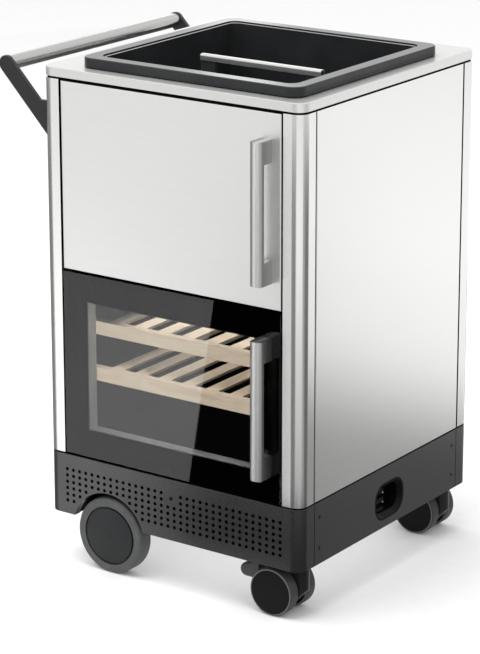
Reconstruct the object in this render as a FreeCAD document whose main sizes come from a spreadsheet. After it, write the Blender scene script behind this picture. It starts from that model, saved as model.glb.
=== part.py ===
"""Outdoor bar cart: a stainless cabinet on a wheeled plinth, with an ice tub, a cupboard and a glass-door fridge.

Millimetres, +Z up. The origin is on the floor, below the middle of the whole cart.
X runs along the front from the push handle to the castors, Y from the doors to the back.
"""
import FreeCAD, Part
import math
import os
import types

import Sketcher

doc = FreeCAD.newDocument("bar_cart")
sheet = doc.addObject("Spreadsheet::Sheet", "sizes")

# Driving sizes, in millimetres, degrees and counts
SIZES = {
    # cabinet
    "cabinet_width": 580,
    "cabinet_depth": 594,
    "worktop_height": 971,
    "worktop_thickness": 17,
    "worktop_edge_radius": 2,
    "worktop_sheet": 3,
    "deck_thickness": 4,
    "deck_inset": 3,
    "ground_clearance": 100,
    "plinth_height": 120,
    "corner_radius": 22,
    "post_front": 40,
    "post_side": 43,
    "post_wall": 2,
    "seam": 3.5,
    "panel_thickness": 16,
    "panel_edge_radius": 2,
    "panel_sheet": 1.5,
    "strip_recess": 1,
    "strip_depth": 8,
    # plinth
    "sheet_thickness": 2,
    "plinth_flange": 16,
    "plinth_wrap": 46,
    "plinth_joint": 0.6,
    "base_thickness": 3,
    "base_play": 0.5,
    "vent_columns": 34,
    "vent_rows": 6,
    "vent_side": 44,
    "vent_pitch_z": 12.7,
    "vent_diameter": 7,
    "vent_bottom_row": 27,
    "vent_margin": 5,
    "vent_screw_rows": 2,
    "arch_clearance": 10,
    "arch_lip": 14,
    # mains inlet
    "inlet_length": 102,
    "inlet_height": 74,
    "inlet_corner": 32,
    "inlet_rim": 12,
    "inlet_slope": 8,
    "inlet_depth": 34,
    "inlet_wall": 3,
    "inlet_from_front": 303,
    "inlet_above_plinth": 52,
    "inlet_block_play": 3,
    "inlet_block_sink": 10,
    "inlet_block_end": 7,
    "inlet_channel_width": 10,
    "inlet_pin_pitch": 19,
    "inlet_pin_diameter": 4.8,
    "inlet_pin_length": 16,
    # doors and hinges
    "door_thickness": 28,
    "door_play": 1.5,
    "door_split": 4,
    "door_edge_radius": 3,
    "door_skin": 1.5,
    "pivot_from_edge": 12,
    "pivot_from_face": 7,
    "hinge_pin_diameter": 5,
    "hinge_pin_reach": 12,
    "hinge_plate_thickness": 2,
    "hinge_plate_depth": 12,
    "running_clearance": 0.05,
    "rest_clearance": 0.3,
    "door_seal_thickness": 5,
    "door_seal_width": 12,
    "door_seal_inset": 15,
    "glass_thickness": 4,
    "glass_border": 53,
    "reveal_wall": 2,
    # door handles
    "handle_length": 262,
    "handle_width": 25,
    "handle_reach": 37,
    "handle_crown": 6,
    "handle_bar": 13,
    "handle_foot": 41,
    "handle_from_edge": 20,
    # liners and shelves
    "liner_back_room": 30,
    "liner_wall": 28,
    "cupboard_wall": 8,
    "cupboard_frame": 28,
    "evaporator_width": 220,
    "evaporator_height": 180,
    "evaporator_thickness": 4,
    "shelf_gap": 92,
    "upper_shelf_height": 259.5,
    "rail_height": 26,
    "rail_depth": 16,
    "rail_setback": 10,
    "shelf_back_gap": 33,
    "shelf_play": 1,
    "slat_count": 7,
    "slat_width": 28,
    "slat_side": 41,
    "slat_thickness": 5,
    "runner_width": 12,
    "runner_height": 8,
    # ice tub and divider
    "rim_left": 68,
    "rim_right": 27,
    "rim_front": 26,
    "rim_rear": 88,
    "rim_width": 30,
    "rim_height": 20,
    "rim_corner": 26,
    "rim_edge_radius": 2.5,
    "rim_foot": 2,
    "rim_foot_inset": 4,
    "rim_step": 4,
    "tub_wall": 4,
    "tub_depth": 165,
    "tub_corner": 16,
    "tub_play": 1.5,
    "guide_width": 5,
    "guide_reach": 6,
    "divider_thickness": 10,
    "divider_play": 0.6,
    "divider_shoulder": 60,
    "grip_length": 272,
    "grip_below_rim": 21,
    "grip_height": 12,
    "grip_wall": 2,
    "grip_round": 4,
    "hand_hole_height": 34,
    "hand_hole_side": 33,
    # push handle
    "push_bar_offset": 107,
    "push_bar_height": 957,
    "push_bar_diameter": 28,
    "push_bar_wall": 2,
    "arm_width": 32,
    "arm_foot_drop": 124.8,
    "arm_thickness": 10,
    "arm_inset": 25,
    "arm_root_length": 28,
    "arm_edge_radius": 2,
    # large wheels
    "wheel_diameter": 150,
    "wheel_width": 35,
    "wheel_from_left": 142,
    "wheel_inset": 2,
    "tyre_inner_diameter": 116,
    "tyre_shoulder": 6,
    "cap_diameter": 108,
    "cap_rise": 2,
    "cap_groove": 3,
    "hub_boss_diameter": 40,
    "hub_web": 14,
    "hub_rim": 5,
    "axle_diameter": 12,
    "axle_inset": 9,
    "bracket_thickness": 6,
    "bracket_width": 70,
    "bracket_boss_radius": 16,
    "bracket_flange": 30,
    "bracket_gap": 6,
    # castors
    "castor_from_right": 40,
    "castor_from_edge": 48,
    "castor_diameter": 92,
    "castor_trail": 30,
    "castor_wheel_width": 26,
    "castor_shoulder": 4,
    "castor_axle_diameter": 8,
    "castor_axle_end": 5,
    "hood_width": 28,
    "hood_nose": 25,
    "hood_nose_bottom": 50,
    "hood_bottom": 14,
    "hood_rear": 42,
    "hood_gap": 1,
    "hood_drop": 3,
    "stem_diameter": 12,
    "stem_length": 36,
    "socket_diameter": 28,
    "socket_flange_diameter": 48,
    "socket_flange_thickness": 4,
    "socket_height": 38,
    "pedal_pivot_back": 34,
    "pedal_pivot_height": 66,
    "pedal_pin_diameter": 6,
    "pedal_boss_radius": 8,
    "pedal_root_width": 18,
    "pedal_width": 28,
    "pedal_length": 54,
    "pedal_drop": 2,
    "pedal_thickness": 26,
    "pedal_slope": 0.42,
    "pedal_tip_radius": 6,
    "pedal_gap": 3,
    # cooling machine
    "compressor_diameter": 118,
    "compressor_height": 96,
    "compressor_from_left": 320,
    "compressor_from_back": 164,
    "compressor_dome": 24,
    "compressor_flange": 6,
    "condenser_width": 150,
    "condenser_depth": 32,
    "condenser_height": 96,
    "condenser_from_right": 130,
    "condenser_from_front": 60,
    "condenser_fins": 14,
    "condenser_fin_gap": 5,
    "condenser_fin_depth": 9,
    "fan_size": 92,
    "fan_depth": 25,
    "fan_bore_diameter": 86,
    "fan_hub_diameter": 34,
    "fan_shaft_diameter": 6,
    "fan_bar": 12,
    "fan_bar_depth": 5,
    "fan_blades": 7,
    "fan_blade_thickness": 2,
    "fan_blade_pitch": 35,
    "fan_blade_width": 16,
    "fan_tip_clearance": 3,
    "control_length": 110,
    "control_width": 70,
    "control_height": 55,
    "control_gap": 12,
}


class Size(float):
    """A number that keeps the formula, in cells of the sheet, that gives it."""

    def __new__(cls, value, text):
        size = super().__new__(cls, value)
        size.text = text
        return size

    def __add__(self, other):
        return Size(float(self) + float(other), f"({self.text} + {formula(other)})")

    def __radd__(self, other):
        return Size(float(other) + float(self), f"({formula(other)} + {self.text})")

    def __sub__(self, other):
        return Size(float(self) - float(other), f"({self.text} - {formula(other)})")

    def __rsub__(self, other):
        return Size(float(other) - float(self), f"({formula(other)} - {self.text})")

    def __mul__(self, other):
        return Size(float(self) * float(other), f"({self.text} * {formula(other)})")

    __rmul__ = __mul__

    def __truediv__(self, other):
        return Size(float(self) / float(other), f"({self.text} / {formula(other)})")

    def __neg__(self):
        return Size(-float(self), f"(0 - {self.text})")


def formula(value):
    return value.text if isinstance(value, Size) else f"({float(value)!r})"


def root(value):
    return Size(math.sqrt(value), f"sqrt({formula(value)})")


def sine(angle):
    return Size(math.sin(math.radians(angle)), f"sin({formula(angle)})")


def cosine(angle):
    return Size(math.cos(math.radians(angle)), f"cos({formula(angle)})")


def fill_sheet():
    for row, (name, value) in enumerate(SIZES.items(), start=1):
        sheet.set(f"A{row}", str(value))
        sheet.setAlias(f"A{row}", name)
    doc.recompute()
    return types.SimpleNamespace(**{name: Size(sheet.get(name), f"sizes.{name}") for name in SIZES})


dim = fill_sheet()
pieces = []

# Building blocks: each length given to them may be a plain number or a formula on the sheet


def bind(obj, path, value):
    if isinstance(value, Size):
        obj.setExpression(path, value.text)
    elif value:
        obj.setExpression(path, repr(float(value)))


def place(obj, x, y, z):
    for axis, value in zip("xyz", (x, y, z)):
        bind(obj, f"Placement.Base.{axis}", value)


def keep(obj, label):
    """Make the object a sub-part of the cart under its own name."""
    obj.Label = label
    pieces.append(obj)
    return obj


def box(name, x, y, z):
    """A block between pairs of coordinates."""
    block = doc.addObject("Part::Box", name)
    for path, (low, high) in zip(("Length", "Width", "Height"), (x, y, z)):
        bind(block, path, high - low)
    place(block, x[0], y[0], z[0])
    return block


TURN = {
    "x": FreeCAD.Rotation(FreeCAD.Vector(0, 1, 0), 90),
    "y": FreeCAD.Rotation(FreeCAD.Vector(1, 0, 0), -90),
    "z": FreeCAD.Rotation(),
}


def rod(name, axis, x, y, z, radius, length):
    """A cylinder that starts at the point and runs along the axis."""
    cylinder = doc.addObject("Part::Cylinder", name)
    bind(cylinder, "Radius", radius)
    bind(cylinder, "Height", length)
    cylinder.Placement = FreeCAD.Placement(FreeCAD.Vector(), TURN[axis])
    place(cylinder, x, y, z)
    return cylinder


def cut(name, base, *tools):
    for tool in tools:
        result = doc.addObject("Part::Cut", name)
        result.Base = base
        result.Tool = tool
        base = result
    return base


def fuse(name, *shapes):
    result = doc.addObject("Part::MultiFuse", name)
    result.Shapes = list(shapes)
    result.Refine = True
    return result


def group(name, *shapes):
    """Separate solids that share one node."""
    result = doc.addObject("Part::Compound", name)
    result.Links = list(shapes)
    return result


def new_body(name, x=0, y=0, z=0):
    body = doc.addObject("PartDesign::Body", name)
    place(body, x, y, z)
    return body


def new_sketch(body, plane, offset=0):
    """A sketch on a plane of the body, moved along the plane's axis by the offset."""
    sketch = body.newObject("Sketcher::SketchObject", f"{body.Name}_{plane}")
    support = next(feature for feature in body.Origin.OriginFeatures if feature.Role == f"{plane}_Plane")
    sketch.AttachmentSupport = (support, "")
    sketch.MapMode = "FlatFace"
    bind(sketch, "AttachmentOffset.Base.z", -offset if plane == "XZ" else offset)
    return sketch


def fix_point(sketch, geometry, end, x, y):
    """Tie a point of the sketch to its coordinates."""
    for kind, axis, value in (("DistanceX", -2, x), ("DistanceY", -1, y)):
        if isinstance(value, Size):
            index = sketch.addConstraint(Sketcher.Constraint(kind, -1, 1, geometry, end, float(value)))
            sketch.setExpression(f"Constraints[{index}]", value.text)
        elif value:
            sketch.addConstraint(Sketcher.Constraint(kind, -1, 1, geometry, end, float(value)))
        else:
            sketch.addConstraint(Sketcher.Constraint("PointOnObject", geometry, end, axis))


def fix_radius(sketch, geometry, radius):
    index = sketch.addConstraint(Sketcher.Constraint("Radius", geometry, float(radius)))
    sketch.setExpression(f"Constraints[{index}]", formula(radius))


def arc_between(start, end, radius):
    """The short arc from start to end, turning left for a positive radius and right for a negative one."""
    chord = end - start
    middle = (start + end) * 0.5
    rise = math.sqrt(max(radius * radius - chord.Length ** 2 / 4, 0))
    to_left = FreeCAD.Vector(-chord.y, chord.x, 0).normalize()
    centre = middle + to_left * math.copysign(rise, radius)
    first, last = (start, end) if radius > 0 else (end, start)
    angles = [math.atan2(point.y - centre.y, point.x - centre.x) for point in (first, last)]
    return Part.ArcOfCircle(Part.Circle(centre, FreeCAD.Vector(0, 0, 1), abs(radius)), *angles)


def outline(sketch, corners):
    """A closed outline; a corner that has a radius as third value is reached along an arc."""
    points = [FreeCAD.Vector(float(corner[0]), float(corner[1]), 0) for corner in corners]
    sides = []
    for index, corner in enumerate(corners):
        start, end = points[index - 1], points[index]
        if len(corner) == 3:
            geometry = sketch.addGeometry(arc_between(start, end, float(corner[2])))
            ends = (1, 2) if corner[2] > 0 else (2, 1)
        else:
            geometry = sketch.addGeometry(Part.LineSegment(start, end))
            ends = (1, 2)
        sides.append((geometry, ends))
    for index, corner in enumerate(corners):
        geometry, ends = sides[index]
        following, following_ends = sides[(index + 1) % len(sides)]
        sketch.addConstraint(Sketcher.Constraint("Coincident", geometry, ends[1], following, following_ends[0]))
        fix_point(sketch, geometry, ends[1], corner[0], corner[1])
    for (geometry, _), corner in zip(sides, corners):
        if len(corner) == 3:
            fix_radius(sketch, geometry, corner[2] if corner[2] > 0 else -corner[2])


def rectangle(sketch, x0, y0, x1, y1, radius=None):
    if radius is None:
        outline(sketch, [(x0, y0), (x1, y0), (x1, y1), (x0, y1)])
        return
    outline(sketch, [
        (x1 - radius, y0), (x1, y0 + radius, radius),
        (x1, y1 - radius), (x1 - radius, y1, radius),
        (x0 + radius, y1), (x0, y1 - radius, radius),
        (x0, y0 + radius), (x0 + radius, y0, radius),
    ])


def circle(sketch, x, y, radius):
    centre = FreeCAD.Vector(float(x), float(y), 0)
    geometry = sketch.addGeometry(Part.Circle(centre, FreeCAD.Vector(0, 0, 1), float(radius)))
    fix_point(sketch, geometry, 3, x, y)
    fix_radius(sketch, geometry, radius)


def faces_backward(sketch, towards):
    """Whether the sketch's own normal points against the wanted side of its axis."""
    normal = -1 if sketch.AttachmentSupport[0][0].Role.startswith("XZ") else 1
    return normal != towards


def pad(body, sketch, length, towards=1, midplane=False):
    feature = body.newObject("PartDesign::Pad", f"{body.Name}_pad")
    feature.Profile = sketch
    bind(feature, "Length", length)
    feature.Reversed = faces_backward(sketch, towards)
    feature.Midplane = midplane
    return feature


def pocket(body, sketch, length, towards=1, midplane=False):
    feature = body.newObject("PartDesign::Pocket", f"{body.Name}_pocket")
    feature.Profile = sketch
    bind(feature, "Length", length)
    feature.Reversed = not faces_backward(sketch, towards)
    feature.Midplane = midplane
    return feature


def revolve(body, sketch, axis):
    feature = body.newObject("PartDesign::Revolution", f"{body.Name}_turned")
    feature.Profile = sketch
    feature.ReferenceAxis = (sketch, [axis])
    feature.Angle = 360
    return feature


def fillet(body, radius, wanted):
    """Round the edges of the body's last feature that pass the test."""
    doc.recompute()
    tip = body.Tip
    names = [f"Edge{index}" for index, edge in enumerate(tip.Shape.Edges, start=1) if wanted(edge)]
    feature = body.newObject("PartDesign::Fillet", f"{body.Name}_round")
    feature.Base = (tip, names)
    bind(feature, "Radius", radius)
    return feature


def chamfer(body, size, wanted):
    """Bevel the edges of the body's last feature that pass the test."""
    doc.recompute()
    tip = body.Tip
    names = [f"Edge{index}" for index, edge in enumerate(tip.Shape.Edges, start=1) if wanted(edge)]
    feature = body.newObject("PartDesign::Chamfer", f"{body.Name}_bevel")
    feature.Base = (tip, names)
    bind(feature, "Size", size)
    return feature


def runs_along(edge, axis):
    """Whether a straight edge is parallel to the axis."""
    if edge.Curve.TypeId != "Part::GeomLine":
        return False
    return abs(abs(getattr(edge.Curve.Direction, axis)) - 1) < 1e-6


def lies_at(edge, axis, value):
    """Whether the whole edge lies at one coordinate."""
    span = edge.BoundBox
    low, high = getattr(span, f"{axis.upper()}Min"), getattr(span, f"{axis.upper()}Max")
    return abs(low - float(value)) < 1e-3 and abs(high - float(value)) < 1e-3


def stays_within(edge, axis, value):
    """Whether the whole edge stays nearer to zero than the value."""
    span = edge.BoundBox
    low, high = getattr(span, f"{axis.upper()}Min"), getattr(span, f"{axis.upper()}Max")
    return max(abs(low), abs(high)) < float(value)


# Main planes of the cart
left = (dim.push_bar_offset + dim.arm_width / 2 - dim.cabinet_width) / 2
right = left + dim.cabinet_width
front = (dim.handle_reach - dim.cabinet_depth) / 2
back = front + dim.cabinet_depth
plinth_bottom = dim.ground_clearance
plinth_top = plinth_bottom + dim.plinth_height
body_bottom = plinth_top + dim.deck_thickness
worktop_bottom = dim.worktop_height - dim.worktop_thickness
body_top = worktop_bottom - dim.deck_thickness
body_height = body_top - body_bottom
door_split = (body_bottom + body_top) / 2
door_left = left + dim.post_front + dim.seam
door_right = right - dim.post_front - dim.seam
door_width = door_right - door_left
liner_front = front + dim.door_thickness + dim.door_seal_thickness
liner_back = back - dim.panel_thickness - dim.liner_back_room
base_bottom = plinth_bottom + dim.sheet_thickness
base_top = base_bottom + dim.base_thickness

# Places of the large wheels and of the castors' swivel axes
wheel_radius = dim.wheel_diameter / 2
arch_radius = wheel_radius + dim.arch_clearance
lip_radius = arch_radius + dim.sheet_thickness
wheel_x = left + dim.wheel_from_left
castor_x = right - dim.castor_from_right
castor_front_y = front + dim.castor_from_edge
castor_rear_y = back - dim.castor_from_edge
well_depth = dim.wheel_inset + dim.wheel_width + dim.bracket_gap


# Plinth: folded sheet with a flange at the top and at the bottom


def wrap_band(sketch, outer, inner, side):
    """A band round two corners of the plinth, between two distances from its outer face."""
    width, wrap = dim.cabinet_width, side * dim.plinth_wrap
    bend = side * dim.corner_radius
    turn_out = side * (dim.corner_radius - outer)
    turn_in = -side * (dim.corner_radius - inner)
    outline(sketch, [
        (inner, wrap),
        (outer, wrap),
        (outer, bend),
        (dim.corner_radius, side * outer, turn_out),
        (width - dim.corner_radius, side * outer),
        (width - outer, bend, turn_out),
        (width - outer, wrap),
        (width - inner, wrap),
        (width - inner, bend),
        (width - dim.corner_radius, side * inner, turn_in),
        (dim.corner_radius, side * inner),
        (inner, bend, turn_in),
    ])


def arch_outline(sketch, radius, centre_x, centre_z):
    """The part of a circle above the plinth's lower edge."""
    half = root(radius * radius - centre_z * centre_z)
    outline(sketch, [(centre_x - half, 0, radius), (centre_x + half, 0)])


def plinth_wrap(label, y, side):
    """The front piece (side 1) or the rear piece (side -1), each round two corners, with its wheel arch."""
    body = keep(new_body(label, left, y, plinth_bottom), label)
    band = new_sketch(body, "XY")
    wrap_band(band, 0, dim.plinth_flange, side)
    pad(body, band, dim.plinth_height)
    arch_z = wheel_radius - plinth_bottom
    lip = new_sketch(body, "XZ")
    arch_outline(lip, lip_radius, dim.wheel_from_left, arch_z)
    hollow = new_sketch(body, "XY", dim.sheet_thickness)
    wrap_band(hollow, dim.sheet_thickness, dim.plinth_flange + dim.base_play, side)
    pocket(body, hollow, dim.plinth_height - 2 * dim.sheet_thickness)
    pad(body, lip, dim.arch_lip, towards=side)
    arch = new_sketch(body, "XZ")
    arch_outline(arch, arch_radius, dim.wheel_from_left, arch_z)
    pocket(body, arch, dim.plinth_flange + dim.base_play, towards=side)
    return body


def vent_places():
    """Centres of the vents on the plinth front, left out round the wheel arch and round the middle screw."""
    columns, rows = int(dim.vent_columns), int(dim.vent_rows)
    pitch = (dim.cabinet_width - 2 * dim.vent_side) / (dim.vent_columns - 1)
    keep_out = float(arch_radius + dim.vent_margin)
    arch_z = float(wheel_radius - plinth_bottom)
    for column in range(columns):
        beside_screw = abs(column - (columns - 1) / 2) < 1
        for row in range(rows - int(dim.vent_screw_rows) if beside_screw else rows):
            x = dim.vent_side + column * pitch
            z = dim.vent_bottom_row + row * dim.vent_pitch_z
            if math.hypot(float(x - dim.wheel_from_left), float(z) - arch_z) > keep_out:
                yield x, z


plinth_front = plinth_wrap("plinth_front", front, 1)
vents = new_sketch(plinth_front, "XZ")
for vent_x, vent_z in vent_places():
    circle(vents, vent_x, vent_z, dim.vent_diameter / 2)
pocket(plinth_front, vents, 2 * dim.sheet_thickness, towards=1)
plinth_wrap("plinth_rear", back, -1)

side_start = front + dim.plinth_wrap + dim.plinth_joint
side_length = dim.cabinet_depth - 2 * (dim.plinth_wrap + dim.plinth_joint)
inlet_y = dim.inlet_from_front - dim.plinth_wrap - dim.plinth_joint


def plinth_side(label, x, side):
    """A straight channel between the front and the rear piece; side is 1 where the cart lies at larger X."""
    body = keep(new_body(label, x, side_start, plinth_bottom), label)
    channel = new_sketch(body, "XY")
    rectangle(channel, 0, 0, side * dim.plinth_flange, side_length)
    pad(body, channel, dim.plinth_height)
    hollow = new_sketch(body, "XY", dim.sheet_thickness)
    rectangle(hollow, side * dim.sheet_thickness, 0, side * (dim.plinth_flange + dim.base_play), side_length)
    pocket(body, hollow, dim.plinth_height - 2 * dim.sheet_thickness)
    return body


plinth_side("plinth_left", left, 1)
plinth_right = plinth_side("plinth_right", right, -1)
inlet_hole = new_sketch(plinth_right, "YZ")
rectangle(
    inlet_hole,
    inlet_y - dim.inlet_length / 2, dim.inlet_above_plinth - dim.inlet_height / 2,
    inlet_y + dim.inlet_length / 2, dim.inlet_above_plinth + dim.inlet_height / 2,
    dim.inlet_corner,
)
pocket(plinth_right, inlet_hole, 2 * dim.sheet_thickness, towards=-1)

# Mains inlet: an oval cup with a sloping rim, set flush in the right plinth piece; two contact pins stand on
# its floor, beside a contact block with two channels
inlet_back = right - dim.inlet_depth
inlet_middle_y = front + dim.inlet_from_front
inlet_middle_z = plinth_bottom + dim.inlet_above_plinth
inlet_housing = keep(new_body("inlet_housing", inlet_back, inlet_middle_y, inlet_middle_z), "inlet_housing")
cup = new_sketch(inlet_housing, "YZ")
rectangle(cup, -dim.inlet_length / 2, -dim.inlet_height / 2, dim.inlet_length / 2, dim.inlet_height / 2,
          dim.inlet_corner)
pad(inlet_housing, cup, dim.inlet_depth)
mouth = new_sketch(inlet_housing, "YZ", dim.inlet_wall)
rectangle(mouth, dim.inlet_rim - dim.inlet_length / 2, dim.inlet_rim - dim.inlet_height / 2,
          dim.inlet_length / 2 - dim.inlet_rim, dim.inlet_height / 2 - dim.inlet_rim,
          dim.inlet_corner - dim.inlet_rim)
pocket(inlet_housing, mouth, dim.inlet_depth)
chamfer(inlet_housing, dim.inlet_slope,
        lambda edge: lies_at(edge, "x", dim.inlet_depth)
        and stays_within(edge, "y", (dim.inlet_length - dim.inlet_rim) / 2)
        and stays_within(edge, "z", (dim.inlet_height - dim.inlet_rim) / 2))
block_y = dim.inlet_length / 2 - dim.inlet_rim - dim.inlet_block_play
block_z = dim.inlet_height / 2 - dim.inlet_rim - dim.inlet_block_play
block_round = dim.inlet_corner - dim.inlet_rim - dim.inlet_block_play
block_depth = dim.inlet_depth - dim.inlet_wall - dim.inlet_block_sink
contact_block = new_sketch(inlet_housing, "YZ", dim.inlet_wall)
outline(contact_block, [
    (-block_y, block_round - block_z),
    (block_round - block_y, -block_z, block_round),
    (-dim.inlet_block_end, -block_z),
    (-dim.inlet_block_end, block_z),
    (block_round - block_y, block_z),
    (-block_y, block_z - block_round, block_round),
])
pad(inlet_housing, contact_block, block_depth)
channels = new_sketch(inlet_housing, "YZ", dim.inlet_wall + block_depth / 2)
for side in (1, -1):
    channel_z = side * dim.inlet_pin_pitch / 2
    rectangle(channels, -block_y, channel_z - dim.inlet_channel_width / 2, 0, channel_z + dim.inlet_channel_width / 2)
pocket(inlet_housing, channels, block_depth)
keep(group("inlet_pins", *[
    rod(f"inlet_pin_{number}", "x", inlet_back + dim.inlet_wall, inlet_middle_y,
        inlet_middle_z + side * dim.inlet_pin_pitch / 2, dim.inlet_pin_diameter / 2, dim.inlet_pin_length)
    for number, side in ((1, 1), (2, -1))
]), "inlet_pins")

# Base plate: lies on the plinth's lower flanges, open over the large wheels
base_margin = dim.sheet_thickness + dim.base_play
notch_half = root(arch_radius * arch_radius - (base_top - wheel_radius) * (base_top - wheel_radius))
lip_drop = base_bottom - wheel_radius
lip_half = root(lip_radius * lip_radius - lip_drop * lip_drop) + dim.base_play
lip_end = dim.arch_lip + dim.base_play
base_plate = keep(new_body("base_plate", left, front, base_bottom), "base_plate")
sheet_outline = new_sketch(base_plate, "XY")
rectangle(sheet_outline, base_margin, base_margin, dim.cabinet_width - base_margin,
          dim.cabinet_depth - base_margin, dim.corner_radius - base_margin)
pad(base_plate, sheet_outline, dim.base_thickness)
openings = new_sketch(base_plate, "XY")
for edge_y, side in ((0, 1), (dim.cabinet_depth, -1)):
    outline(openings, [
        (dim.wheel_from_left - lip_half, edge_y), (dim.wheel_from_left + lip_half, edge_y),
        (dim.wheel_from_left + lip_half, edge_y + side * lip_end),
        (dim.wheel_from_left + notch_half, edge_y + side * lip_end),
        (dim.wheel_from_left + notch_half, edge_y + side * well_depth),
        (dim.wheel_from_left - notch_half, edge_y + side * well_depth),
        (dim.wheel_from_left - notch_half, edge_y + side * lip_end),
        (dim.wheel_from_left - lip_half, edge_y + side * lip_end),
    ])
for socket_y in (dim.castor_from_edge, dim.cabinet_depth - dim.castor_from_edge):
    circle(openings, dim.cabinet_width - dim.castor_from_right, socket_y,
           dim.socket_diameter / 2 + dim.running_clearance)
pocket(base_plate, openings, dim.base_thickness)


# Wheel wells: half-round covers on the base plate, closed on the inner side


def wheel_well(name, y, side):
    body = new_body(name, wheel_x, y, base_top)
    rise = wheel_radius - base_top
    shell = new_sketch(body, "XZ")
    arch_outline(shell, lip_radius, 0, rise)
    bind(shell, "AttachmentOffset.Base.z", -side * lip_end)
    pad(body, shell, well_depth + dim.sheet_thickness - lip_end, towards=side)
    inside = new_sketch(body, "XZ")
    arch_outline(inside, arch_radius, 0, rise)
    pocket(body, inside, well_depth, towards=side)
    return body


keep(group("wheel_wells", wheel_well("well_front", front, 1), wheel_well("well_rear", back, -1)), "wheel_wells")

# Axle of the large wheels and the two brackets that hang it under the base plate
keep(rod("wheel_axle", "y", wheel_x, front + dim.axle_inset, wheel_radius, dim.axle_diameter / 2,
         dim.cabinet_depth - 2 * dim.axle_inset), "wheel_axle")


def axle_bracket(name, y, side):
    """A hanger with a round eye for the axle and a flange under the base plate."""
    body = new_body(name, wheel_x, y, wheel_radius)
    top = base_bottom - wheel_radius
    boss = dim.bracket_boss_radius
    hanger = new_sketch(body, "XZ")
    outline(hanger, [
        (-dim.bracket_width / 2, top), (-boss, 0), (0, -boss, boss), (boss, 0, boss), (dim.bracket_width / 2, top),
    ])
    pad(body, hanger, dim.bracket_thickness, towards=side)
    flange = new_sketch(body, "XY", top - dim.base_thickness)
    rectangle(flange, -dim.bracket_width / 2, 0, dim.bracket_width / 2, side * dim.bracket_flange)
    pad(body, flange, dim.base_thickness)
    eye = new_sketch(body, "XZ")
    circle(eye, 0, 0, dim.axle_diameter / 2 + dim.running_clearance)
    pocket(body, eye, dim.bracket_thickness, towards=side)
    return body


bracket_at = well_depth + dim.sheet_thickness + dim.bracket_gap
keep(group("axle_brackets", axle_bracket("bracket_front", front + bracket_at, 1),
           axle_bracket("bracket_rear", back - bracket_at, -1)), "axle_brackets")


# Large wheels: a moulded hub with a domed cap, and a tyre on its rim


def large_wheel(place_name, face_y, side):
    """side is 1 for the wheel whose outer face looks to the front."""
    width = side * dim.wheel_width
    rim = dim.tyre_inner_diameter / 2
    bore = dim.axle_diameter / 2 + dim.running_clearance
    cap = dim.cap_diameter / 2
    groove = side * dim.cap_groove
    shoulder = dim.tyre_shoulder
    dome = (cap * cap + dim.cap_rise * dim.cap_rise) / (2 * dim.cap_rise)
    blind = side * (dim.axle_inset - dim.wheel_inset - dim.rest_clearance)
    hub = keep(new_body(f"{place_name}_wheel_hub", wheel_x, face_y, wheel_radius), f"{place_name}_wheel_hub")
    profile = new_sketch(hub, "YZ")
    outline(profile, [
        (-side * dim.cap_rise, 0, side * dome),
        (blind, 0), (blind, bore), (width, bore),
        (width, dim.hub_boss_diameter / 2), (side * dim.hub_web, dim.hub_boss_diameter / 2),
        (side * dim.hub_web, rim - dim.hub_rim), (width, rim - dim.hub_rim), (width, rim),
        (groove, rim), (groove, cap), (0, cap),
    ])
    revolve(hub, profile, "H_Axis")
    tyre = keep(new_body(f"{place_name}_wheel_tyre", wheel_x, face_y, wheel_radius), f"{place_name}_wheel_tyre")
    section = new_sketch(tyre, "YZ")
    outline(section, [
        (0, rim), (width, rim), (width, wheel_radius - shoulder),
        (width - side * shoulder, wheel_radius, side * shoulder),
        (side * shoulder, wheel_radius), (0, wheel_radius - shoulder, side * shoulder),
    ])
    revolve(tyre, section, "H_Axis")


large_wheel("front", front + dim.wheel_inset, 1)
large_wheel("rear", back - dim.wheel_inset, -1)

# Castor sockets: flanged tubes through the base plate
socket_bottom = plinth_bottom - dim.hood_drop


def castor_socket(name, y):
    tube = rod(f"{name}_tube", "z", castor_x, y, socket_bottom, dim.socket_diameter / 2, dim.socket_height)
    flange = rod(f"{name}_flange", "z", castor_x, y, base_top, dim.socket_flange_diameter / 2,
                 dim.socket_flange_thickness)
    bore = rod(f"{name}_bore", "z", castor_x, y, socket_bottom, dim.stem_diameter / 2 + dim.running_clearance,
               dim.socket_height)
    return cut(name, fuse(f"{name}_blank", tube, flange), bore)


keep(group("castor_sockets", castor_socket("socket_front", castor_front_y),
           castor_socket("socket_rear", castor_rear_y)), "castor_sockets")

# Castors: a narrow hood with its stem between two wheels that share an axle
castor_radius = dim.castor_diameter / 2
castor_axle_x = castor_x - dim.castor_trail
hood_top = socket_bottom - dim.rest_clearance
pedal_pivot = (-dim.castor_trail - dim.pedal_pivot_back, dim.pedal_pivot_height)
hood_cheek = -dim.castor_trail - dim.hood_rear


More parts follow.
